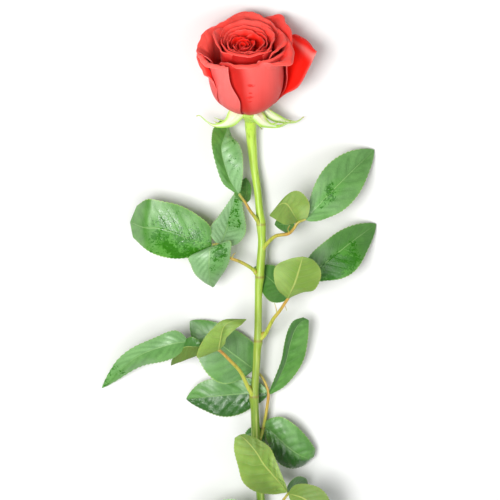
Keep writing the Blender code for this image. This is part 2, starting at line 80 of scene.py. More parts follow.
def addJoints(mesh, joints, reach=0.8):  # marks the swollen joints of a stem or stalk
    y = vertexSpots(mesh)[:, 1] / mm
    storeMark(mesh, "joint", np.clip(sum((np.exp(-((y - j) / reach) ** 2) for j in joints), y * 0), 0, 1))


class SheetPile:  # closed thin sheets gathered into one mesh
    def __init__(self):
        self.points, self.faces, self.skins, self.marks, self.count = [], [], [], {}, 0

    def add(self, grid, thick, skins, **marks):  # skins are numbers for upper side, under side and edge
        rows, cols = grid.shape[:2]
        flat = rows * cols
        normal = unit(np.cross(np.gradient(grid, axis=1), np.gradient(grid, axis=0)))
        half = normal * np.asarray(thick)[..., None] / 2
        self.points += [(grid + half).reshape(-1, 3), (grid - half).reshape(-1, 3)]
        idx = np.arange(flat).reshape(rows, cols)
        quads = np.stack([idx[:-1, :-1], idx[:-1, 1:], idx[1:, 1:], idx[1:, :-1]], -1).reshape(-1, 4)
        ring = np.concatenate([idx[0, :-1], idx[:-1, -1], idx[-1, :0:-1], idx[:0:-1, 0]])
        follow = np.roll(ring, -1)
        wall = np.stack([follow, ring, ring + flat, follow + flat], -1)
        self.faces.append(np.concatenate([quads, quads[:, ::-1] + flat, wall]) + self.count)
        shown = [np.broadcast_to(skin, (rows - 1, cols - 1)).ravel() for skin in skins[:2]]
        self.skins.append(np.concatenate(shown + [np.full(len(wall), skins[2])]))
        for name, value in marks.items():
            value = np.broadcast_to(value, (rows, cols)).ravel()
            under = value * 0 if name == "wet" else value  # water stays on the upper side
            self.marks.setdefault(name, []).append(np.concatenate([value, under]))
        self.count += 2 * flat

    def mesh(self, name, materials):
        made = bpy.data.meshes.new(name)
        made.from_pydata(np.concatenate(self.points) * mm, [], np.concatenate(self.faces))
        for material in materials:
            made.materials.append(material)
        made.polygons.foreach_set("material_index", np.concatenate(self.skins).astype(np.int32))
        for key, parts in self.marks.items():
            storeMark(made, key, np.concatenate(parts))
        made.shade_smooth()
        made.set_sharp_from_angle(angle=math.radians(55))
        made.update()
        return made


def bladeLines(blade, t, across, shape, least):  # the midrib, the reach from it to the edges, the way ahead
    if "net" in blade:  # rows of left edge, midrib and right edge
        net = np.reshape(blade["net"], (-1, 3, 3))
        left, center, right = pathPoints(net, t).transpose(1, 0, 2)[:, :, None]
        reach = np.where((across < 0)[..., None], left, right) - center
        return center, reach, pathAhead(net[:, 1], t)[:, None]
    center, ahead = pathPoints(blade["rib"], t)[:, None], pathAhead(blade["rib"], t)[:, None]
    left, right = (np.maximum(shape * pathPoints(blade[k], (t - 0.2) / 0.6), least)[:, None] for k in ("left", "right"))
    return center, unit(np.cross(ahead, up)) * np.where(across < 0, -left, right)[..., None], ahead


def show(obj):
    bpy.context.scene.collection.objects.link(obj)
    return obj


def place(mesh, node):  # a finished piece stands for its solid
    piece = show(bpy.data.objects.new(mesh.name, mesh))
    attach(piece, "root")
    if node:
        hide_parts(node)
    return piece


# node helpers

class Field:  # a node's output that takes plain arithmetic
    def __init__(self, socket):
        self.socket, self.tree = socket, socket.id_data

    def __add__(self, other):
        return calc("ADD", self, other)

    def __sub__(self, other):
        return calc("SUBTRACT", self, other)

    def __rsub__(self, other):
        return calc("SUBTRACT", other, self)

    def __mul__(self, other):
        return calc("MULTIPLY", self, other)

    def __abs__(self):
        return calc("ABSOLUTE", self)


def feed(sockets, values):  # each value is a constant or another node's output
    for key, value in values.items():
        if isinstance(value, Field):
            value.tree.links.new(value.socket, sockets[key])
        else:
            sockets[key].default_value = (*value, 1.0) if sockets[key].type == "RGBA" else value


def node(tree, kind, inputs=None, output=0, **settings):
    made = tree.nodes.new(kind)
    for key, value in settings.items():
        setattr(made, key, value)
    feed(made.inputs, inputs or {})
    return Field(made.outputs[output])


def calc(operation, *values):
    tree = next(value.tree for value in values if isinstance(value, Field))
    return node(tree, "ShaderNodeMath", dict(enumerate(values)), operation=operation)


def remap(value, low, high, outLow=0.0, outHigh=1.0):  # an eased step from low to high
    limits = {"From Min": low, "From Max": high, "To Min": outLow, "To Max": outHigh}
    return node(value.tree, "ShaderNodeMapRange", {"Value": value, **limits}, interpolation_type="SMOOTHSTEP")


def paint(color, *coats):  # each coat covers the color under it by its own amount
    for amount, coat in coats:
        color = node(amount.tree, "ShaderNodeMix", {0: amount, 6: color, 7: coat}, 2, data_type="RGBA")
    return color


def readMarks(tree, names):
    return [node(tree, "ShaderNodeAttribute", output="Fac", attribute_name=name) for name in names.split()]


def objectPlace(tree, scale=(1, 1, 1)):
    where = node(tree, "ShaderNodeTexCoord", output="Object")
    return node(tree, "ShaderNodeMapping", {"Vector": where, "Scale": scale})


def speckle(where, scale, detail=3.0, rough=0.5):
    return node(where.tree, "ShaderNodeTexNoise",
                {"Vector": where, "Scale": scale, "Detail": detail, "Roughness": rough}, "Fac")


def bump(height, strength, distance):
    return node(height.tree, "ShaderNodeBump", {"Strength": strength, "Distance": distance, "Height": height})


def newSkin(name, constants):
    made = bpy.data.materials.new(name)
    made.use_nodes = True
    shader = made.node_tree.nodes["Principled BSDF"].inputs
    feed(shader, constants)
    return made, made.node_tree, shader


def newGroup(name, kind, inputs, outputs, outKind="Float"):  # an input has a first value or only a kind
    tree = bpy.data.node_groups.new(name, kind)
    kinds = {float: "Float", int: "Int"}
    for label, value in inputs.items():
        kind = "NodeSocket" + kinds.get(type(value), str(value))
        socket = tree.interface.new_socket(name=label, in_out="INPUT", socket_type=kind)
        if type(value) in kinds:
            socket.default_value = value
    for label in outputs:
        tree.interface.new_socket(name=label, in_out="OUTPUT", socket_type="NodeSocket" + outKind)
    given = {socket.name: Field(socket) for socket in tree.nodes.new("NodeGroupInput").outputs}
    return tree, given, tree.nodes.new("NodeGroupOutput").inputs


def useGroup(tree, group, **inputs):
    made = node(tree, "ShaderNodeGroup", inputs, node_tree=group).socket.node
    return {socket.name: Field(socket) for socket in made.outputs}


# what the leaves' shape and their veins share, then the shader groups that several skins use

leafLook = {"teeth": 24, "toothRows": 5, "columns": 18, "tooth": 0.6375, "turnedTooth": 0.375, "thick": 0.34,
            "ribThick": 0.5, "stalkSides": 12, "stalkSteps": 14, "pairs": 8.0, "slant": 0.3}


def makeVeinGroup():  # side veins that leave the midrib and bend toward the tip
    inputs = {"Along": 0.0, "Across": 0.0, "Pairs": 8.0, "Slant": 0.3}
    tree, given, out = newGroup("leafVeins", "ShaderNodeTree", inputs, ["Vein", "Rib", "Relief", "Net", "Shade"])
    along, across, where = given["Along"], given["Across"], objectPlace(tree)
    away = abs(across)
    bent = calc("POWER", away, 1.2) * given["Slant"] * (1.0 - along * 0.35)
    lead = along - bent + (speckle(where, 120.0, 1.0) - 0.5) * 0.03
    phase = lead * given["Pairs"] + calc("GREATER_THAN", across, 0.0) * 0.5
    off = abs(calc("FRACT", phase + 0.5) - 0.5)
    side = remap(off, 0.0, (1.15 - away) * 0.075, 1.0, 0.0) * remap(away, 0.82, 1.0, 1.0, 0.0)
    rib = remap(away, 0.0, 0.055 - along * 0.03, 1.0, 0.0)
    both = calc("MAXIMUM", side * 0.6, rib)
    cells = node(tree, "ShaderNodeTexVoronoi", {"Vector": where, "Scale": 620.0}, feature="DISTANCE_TO_EDGE")
    net = remap(cells, 0.0, 0.12, 1.0, 0.0)
    dip = remap(off, 0.0, 0.42, 1.0, 0.0) * remap(away, 0.9, 0.5)
    feed(out, {"Vein": both, "Rib": rib, "Net": net, "Relief": both + net * 0.18,
               "Shade": calc("MAXIMUM", dip, remap(away, 0.22, 0.0))})
    return tree


def makePetalGroup():  # fine lines that fan up a petal
    inputs = {"Along": 0.0, "Across": 0.0, "Tone": 0.0}
    tree, given, out = newGroup("petalLines", "ShaderNodeTree", inputs, ["Lines", "Cloud"])
    along, across, apart = given["Along"], given["Across"], given["Tone"] * 40.0
    fan = node(tree, "ShaderNodeCombineXYZ", {"X": across * 26.0, "Y": along * 2.2, "Z": apart})
    soft = node(tree, "ShaderNodeCombineXYZ", {"X": across * 2.0, "Y": along * 3.0, "Z": apart})
    feed(out, {"Lines": speckle(fan, 1.0, 4.0, 0.55), "Cloud": speckle(soft, 1.0, 2.0)})
    return tree


veinGroup, petalGroup = makeVeinGroup(), makePetalGroup()


# skins

def leafVeins(tree, along, across):
    return useGroup(tree, veinGroup, Along=along, Across=across, Pairs=leafLook["pairs"], Slant=leafLook["slant"])


def makeLeafTop():
    skin, tree, shader = newSkin("leafTop", {"Coat Roughness": 0.3, "Specular IOR Level": 0.5})
    along, across, wet, tone, gloss = readMarks(tree, "along across wet tone gloss")
    where, veins = objectPlace(tree), leafVeins(tree, along, across)
    patch = remap(speckle(where, 90.0, 4.0, 0.6), 0.35, 0.65)
    spots = speckle(where, 620.0, 3.0, 0.6) * 0.6 + speckle(where, 1500.0, 2.0) * 0.4
    need = 0.985 - (speckle(where, 120.0) * 0.68 + wet * 0.2)
    soaked = remap(spots - need, -0.02, 0.05) * remap(wet, 0.05, 0.3)
    color = paint((0.08, 0.255, 0.033),
                  (patch, (0.14, 0.36, 0.068)),
                  # painted shade: a positive mark darkens the leaf where shade falls
                  (tone, (0.022, 0.11, 0.012)),
                  (tone * -1.0, (0.38, 0.60, 0.34)),  # a negative mark pales the leaf: painted sheen
                  (veins["Shade"] * 0.3, (0.03, 0.13, 0.014)),
                  (wet * 0.65, (0.085, 0.35, 0.02)),
                  (veins["Vein"] * 0.35, (0.20, 0.42, 0.11)),
                  (veins["Rib"] * 0.6, (0.30, 0.52, 0.17)),
                  (veins["Net"] * 0.16, (0.03, 0.12, 0.015)),
                  (remap(abs(across), 0.955, 1.0) * 0.7, (0.32, 0.52, 0.09)),
                  (soaked * 0.95, (0.025, 0.165, 0.002)))
    sheen = remap(speckle(where, 160.0, 4.0), 0.3, 0.7, 0.38, 0.5)
    shine = calc("MAXIMUM", soaked * 0.28, gloss * 0.26)
    coat = remap(veins["Vein"] - gloss, 0.0, 1.0, 0.42, 0.2) + gloss * 0.5
    dry = 1.0 - calc("MAXIMUM", soaked, wet * 0.85)
    folds = speckle(objectPlace(tree, (260.0, 170.0, 200.0)), 1.0, 4.0, 0.6)
    height = speckle(where, 2600.0, 2.0) * 0.12 - veins["Relief"] + folds * gloss * 13.0
    feed(shader, {"Base Color": color, "Roughness": sheen - shine, "Coat Weight": coat * dry,
                  "Normal": bump(height, 0.45, 0.00035)})
    return skin


def makeLeafUnder():
    skin, tree, shader = newSkin("leafUnder", {"Subsurface Weight": 0.12, "Subsurface Scale": 0.001})
    along, across, tone = readMarks(tree, "along across tone")
    patch, veins = speckle(objectPlace(tree), 60.0, 2.0), leafVeins(tree, along, across)
    rib = remap(abs(across), 0.015, 0.085 - along * 0.06, 1.0, 0.0)
    color = paint((0.19, 0.33, 0.045),
                  (remap(patch, 0.35, 0.65), (0.265, 0.41, 0.075)),
                  (veins["Net"] * 0.14, (0.16, 0.28, 0.05)),
                  (veins["Shade"] * 0.25, (0.13, 0.25, 0.03)),
                  (veins["Vein"] * 0.4, (0.42, 0.54, 0.14)),
                  (remap(abs(across), 0.95, 1.0) * 0.6, (0.42, 0.52, 0.11)),
                  # painted shade where the mark is positive, painted sheen where it is negative
                  (tone * 0.75, (0.11, 0.19, 0.025)),
                  (tone * -0.75, (0.44, 0.60, 0.22)),
                  (rib * 0.6, (0.54, 0.62, 0.16)))
    feed(shader, {"Base Color": color, "Roughness": remap(patch, 0.3, 0.7, 0.5, 0.62),
                  "Normal": bump(veins["Relief"], 0.5, 0.0005)})
    return skin


def makePetalSkin(name, deep, lit, lip, startLit, fullLit, darkOvals=()):
    skin, tree, shader = newSkin(name, {
        "Subsurface Weight": 0.22, "Subsurface Scale": 0.0015, "Subsurface Radius": (1.0, 0.25, 0.15),
        "Sheen Weight": 0.06, "Sheen Roughness": 0.4, "Specular IOR Level": 0.25})
    along, across, tone, glow, blush = readMarks(tree, "along across tone glow blush")
    lines, where = useGroup(tree, petalGroup, Along=along, Across=across, Tone=tone), objectPlace(tree)
    # colour runs from deep, painted shade low in the bloom, to lit, painted light toward the rim; each petal's own mark
    # shifts it either way, and the last coat is a painted highlight along lips and edges
    rise = along + (lines["Cloud"] - 0.5) * 0.3 + glow * 0.22
    color = paint(deep, (remap(rise, startLit, fullLit), lit), (remap(lines["Lines"], 0.45, 0.8, 0.0, 0.16), deep),
                  (blush, lip))
    for spot, reach in darkOvals:  # small dark marks, each a ragged oval around its spot
        local = {"Vector": where, "Location": spot, "Scale": reach}
        local = node(tree, "ShaderNodeMapping", local, vector_type="TEXTURE")
        away = node(tree, "ShaderNodeVectorMath", {0: local}, "Value", operation="LENGTH")
        ragged = away + (speckle(where, 900.0) - 0.5) * 1.6
        color = paint(color, (remap(ragged, 0.5, 1.1, 0.9, 0.0), (0.74, 0.02, 0.015)))
    height = lines["Lines"] * 0.5 + speckle(where, 3000.0, 2.0) * 0.15
    feed(shader, {"Base Color": color, "Roughness": remap(lines["Cloud"], 0.3, 0.7, 0.5, 0.62),
                  "Normal": bump(height, 0.25, 0.0003)})
    return skin


def makeStemSkin(name, stops, streak):
    skin, tree, shader = newSkin(name, {"Subsurface Weight": 0.1, "Subsurface Scale": 0.001,
                                        "Specular IOR Level": 0.45, "Coat Roughness": 0.35})
    along, joint = readMarks(tree, "along joint")
    ramp = node(tree, "ShaderNodeValToRGB", {"Fac": along})
    elements = ramp.socket.node.color_ramp.elements
    while len(elements) < len(stops):
        elements.new(0.5)
    for element, (where, color) in zip(elements, stops):
        element.position, element.color = where, (*color, 1.0)
    long = speckle(objectPlace(tree, (900.0, 28.0, 900.0)), 1.0)
    dots = node(tree, "ShaderNodeTexVoronoi", {"Vector": objectPlace(tree, (1.0, 0.45, 1.0)), "Scale": 900.0})
    color = paint(ramp,
                  (remap(long, 0.52, 0.7, 0.0, 0.6), streak),
                  (remap(long, 0.5, 0.3, 0.0, 0.3375), (0.04, 0.13, 0.005)),
                  (joint * 0.6, (0.26, 0.12, 0.03)),
                  (remap(dots, 0.05, 0.16, 0.25, 0.0), (0.78, 0.84, 0.42)))
    feed(shader, {"Base Color": color, "Roughness": remap(long, 0.3, 0.7, 0.36, 0.5),
                  "Coat Weight": remap(long, 0.3, 0.7, 0.2, 0.35), "Normal": bump(long, 0.35, 0.0003)})
    return skin


def makeSepalSkin(name, middle, edge):
    skin, tree, shader = newSkin(name, {"Subsurface Weight": 0.15, "Subsurface Scale": 0.001,
                                        "Sheen Weight": 0.1, "Roughness": 0.55})
    along, across = readMarks(tree, "along across")
    lines = speckle(node(tree, "ShaderNodeCombineXYZ", {"X": across * 9.0, "Y": along * 3.0}), 1.0, 4.0)
    away = abs(across) + (lines - 0.5) * 0.5 + along * 0.9
    color = paint(middle, (remap(away, 0.55, 1.15), edge), (remap(lines, 0.5, 0.75, 0.0, 0.4), (0.45, 0.66, 0.2)),
                  (remap(along, 0.9, 1.0, 0.0, 0.6), (0.50, 0.34, 0.09)))
    feed(shader, {"Base Color": color, "Normal": bump(lines, 0.4, 0.0003)})
    return skin


leafTop, leafUnder = makeLeafTop(), makeLeafUnder()
darkOvalSpots = [  # middle and reach of each oval, in metres
    ((0.00695, 0.16538, 0.0448), (0.0027, 0.0011, 0.003)), ((0.0073, 0.16057, 0.0428), (0.0013, 0.0007, 0.003)),
    ((0.0066, 0.158, 0.0413), (0.0026, 0.0009, 0.003)), ((0.0068, 0.1552, 0.04), (0.0018, 0.0005, 0.003))]
# each runs from its deep red, painted shade, to its lit red, painted light; the lip colour is the painted highlight
petalOuter = makePetalSkin("petalOuter", (0.60, 0.020, 0.014), (0.96, 0.125, 0.11), (0.97, 0.33, 0.31), 0.0, 0.6,
                           darkOvalSpots)
# the inner deep red is kept bright: painted translucent light where petals lie in shade
petalInner = makePetalSkin("petalInner", (0.86, 0.012, 0.004), (0.97, 0.085, 0.065), (0.96, 0.32, 0.28), 0.35, 0.9)
# a darker copy for ring and heart: painted shade deep in the bloom
petalHeartShaded = makePetalSkin("petalHeartShaded", (0.50, 0.008, 0.006), (0.92, 0.07, 0.055), (0.95, 0.26, 0.23), 0.45, 1.1)
stemSkin = makeStemSkin("stemSkin", [
    (0.0, (0.47, 0.70, 0.07)), (0.2, (0.39, 0.60, 0.05)), (0.42, (0.27, 0.39, 0.035)), (0.62, (0.17, 0.30, 0.025)),
    (1.0, (0.13, 0.21, 0.03))], (0.50, 0.58, 0.13))
stalkSkin = makeStemSkin("stalkSkin", [
    (0.0, (0.48, 0.58, 0.07)), (0.3, (0.46, 0.50, 0.06)), (0.62, (0.55, 0.30, 0.05)), (1.0, (0.40, 0.42, 0.07))],
    (0.60, 0.46, 0.12))
calyxSkin = makeStemSkin("calyxSkin", [(0.0, (0.45, 0.70, 0.09)), (1.0, (0.42, 0.62, 0.12))], (0.62, 0.74, 0.22))
sepalPale = makeSepalSkin("sepalPale", (0.78, 0.86, 0.58), (0.40, 0.66, 0.08))
sepalGreen = makeSepalSkin("sepalGreen", (0.30, 0.52, 0.08), (0.38, 0.62, 0.08))
waterSkin, _, _ = newSkin("waterSkin", {"Transmission Weight": 1.0, "Roughness": 0.03, "IOR": 1.33,
                                        "Base Color": (0.96, 0.98, 0.96)})
print("skins made")


# geometry node trees

def endTree(tree, out, shape, skin):
    shape = node(tree, "GeometryNodeSetShadeSmooth", {"Geometry": shape})
    shape = node(tree, "GeometryNodeRealizeInstances", {"Geometry": shape})
    feed(out, {"Geometry": node(tree, "GeometryNodeSetMaterial", {"Geometry": shape, "Material": skin})})
    return tree


def makeSweepTree():  # a round bar along a curve that keeps its radius
    inputs = {"Geometry": "Geometry", "Sides": 16, "Skin": "Material"}
    tree, given, out = newGroup("roundSweep", "GeometryNodeTree", inputs, ["Geometry"], "Geometry")
    kept = node(tree, "GeometryNodeStoreNamedAttribute", {
        "Geometry": given["Geometry"], "Name": "along", "Value": node(tree, "GeometryNodeSplineParameter")})
    ring = node(tree, "GeometryNodeCurvePrimitiveCircle", {"Resolution": given["Sides"], "Radius": 1.0})
    bar = node(tree, "GeometryNodeCurveToMesh", {"Curve": kept, "Profile Curve": ring, "Fill Caps": True,
                                                 "Scale": node(tree, "GeometryNodeInputRadius")})
    return endTree(tree, out, bar, given["Skin"])


def makeDropTree():  # flattened beads of water where a sheet is wet
    inputs = {"Geometry": "Geometry", "Spacing": 0.0009, "Density": 260000.0, "Smallest": 0.0002, "Largest": 0.0005,
              "Seed": 3, "Water": "Material"}
    tree, given, out = newGroup("waterDrops", "GeometryNodeTree", inputs, ["Geometry"], "Geometry")
    wet = node(tree, "GeometryNodeInputNamedAttribute", {"Name": "wet"}, data_type="FLOAT")
    cloud = speckle(node(tree, "GeometryNodeInputPosition"), 95.0, 2.0)  # drops gather in clouds
    there = node(tree, "ShaderNodeMapRange", {"Value": cloud, "From Min": 0.42, "From Max": 0.62})
    spread = {"Mesh": given["Geometry"], "Distance Min": given["Spacing"], "Density Max": given["Density"],
              "Density Factor": there * wet, "Seed": given["Seed"]}
    spots = node(tree, "GeometryNodeDistributePointsOnFaces", spread, "Points", distribute_method="POISSON")
    bead = node(tree, "GeometryNodeMeshIcoSphere", {"Radius": 1.0, "Subdivisions": 2})
    flat = node(tree, "GeometryNodeTransform", {"Geometry": bead, "Scale": (1.0, 1.0, 0.5)})
    size = node(tree, "FunctionNodeRandomValue",
                {"Min": given["Smallest"], "Max": given["Largest"], "Seed": given["Seed"]}, 1, data_type="FLOAT")
    sown = node(tree, "GeometryNodeInstanceOnPoints", {
        "Points": spots, "Instance": flat, "Rotation": Field(spots.socket.node.outputs["Rotation"]), "Scale": size})
    return endTree(tree, out, sown, given["Water"])


sweepTree, dropTree = makeSweepTree(), makeDropTree()


def bake(name, obj, tree, **values):  # the tree's result as a plain mesh
    modifier = obj.modifiers.new("grow", "NODES")
    modifier.node_group = tree
    for item in tree.interface.items_tree:
        if item.in_out == "INPUT" and item.name in values:
            modifier[item.identifier] = values[item.name]
    graph = bpy.context.evaluated_depsgraph_get()
    made = bpy.data.meshes.new_from_object(obj.evaluated_get(graph), preserve_all_data_layers=True, depsgraph=graph)
    obj.modifiers.clear()
    made.name = name
    return made


def sweep(name, bars, sides, skin, joints=()):  # bars are lists of x, y, z, radius
    curve = bpy.data.curves.new(name, "CURVE")
    curve.dimensions = "3D"
    for bar in bars:
        spline = curve.splines.new("POLY")
        spline.points.add(len(bar) - 1)
        for point, (x, y, z, radius) in zip(spline.points, bar):
            point.co = (x * mm, y * mm, z * mm, 1.0)
            point.radius = radius * mm
    guide = show(bpy.data.objects.new(name, curve))
    mesh = bake(name, guide, sweepTree, Sides=sides, Skin=skin)
    bpy.data.objects.remove(guide, do_unlink=True)
    addJoints(mesh, joints)
    return mesh


# stem, its line from the bloom down as x, y, z, radius

stemLook = {
    "line": [(7.2, 139.5, 10.2, 3.5), (7.4, 134, 8.2, 3.4), (8, 125, 6.8, 3), (9.3, 111, 7, 2.5), (11.4, 97, 8, 2.3),
        (12.8, 83, 9.2, 2.4), (13.5, 76.5, 10, 2.9), (13.9, 70, 10.4, 2.5), (14.1, 63, 10.9, 2.5),
        (13, 48, 11.9, 2.7), (12.7, 43.5, 12, 2.9), (12.2, 38, 12.2, 2.4), (12, 29, 12.4, 2.3), (11.8, 13, 12.6, 2.3),
        (11.9, 5, 12.5, 2.7), (11.3, -1, 12.4, 2.4), (10.8, -10, 12.3, 2.3), (9.7, -25, 12, 2.4), (9.3, -30, 11.9, 3),
        (9.7, -37, 11.7, 2.6), (10.3, -53, 11.3, 2.6), (10.6, -64, 11, 3), (11.4, -70, 10.8, 2.6),
        (12.6, -84, 10.4, 2.6), (14.2, -104, 9.6, 2.7), (14.9, -117, 9, 3.1), (14.9, -124, 8.6, 2.7),
        (14.2, -145, 7.4, 2.8), (12.4, -163, 6.2, 3.2), (11.9, -171, 5.7, 2.9), (10.6, -199, 3.1, 3)],
    "sides": 36, "steps": 420, "slant": 3,
    "joints": [76.5, 44.5, 5, -30, -64, -117, -163],
    "buds": [(10.4, 47.4, 13.2), (14.4, 8.4, 13.4), (7.2, -25.4, 12.6), (12.2, -59, 9.4)],
    "budSides": 14, "budSteps": 12,
}


def makeStem(look):
    t = np.linspace(0, 1, look["steps"])
    line = pathPoints(look["line"], t)
    line[:, 3] *= 1 + 0.02 * np.sin(t * 97) * np.sin(t * 31)  # slightly uneven
    mesh = sweep("stemBark", [line], look["sides"], stemSkin, look["joints"])
    _, endY, endZ, endRadius = look["line"][-1]
    spots = vertexSpots(mesh)
    end = spots[:, 1] < (endY + 0.01) * mm  # the last ring is cut at a slant
    spots[end, 1] -= (spots[end, 2] / mm - endZ) * look["slant"] / endRadius * mm
    mesh.vertices.foreach_set("co", spots.ravel())
    mesh.set_sharp_from_angle(angle=math.radians(50))
    place(mesh, "stem")
    k = np.linspace(0, 1, look["budSteps"])
    fat = 0.12 + 1.35 * np.sin(np.pi * k ** 0.75) ** 0.8 * (1 - 0.35 * k)  # a bud's radius from foot to tip
    buds = [np.stack([x + (0.5 if x > 12 else -0.5) * k, y - 1.6 + 4.2 * k, z + 0.5 * np.sin(k * 3.1) - 0.3 * k,
                      fat], -1) for x, y, z in look["buds"]]
    place(sweep("stemBuds", buds, look["budSides"], stalkSkin), "stem")


makeStem(stemLook)
print("stem made")
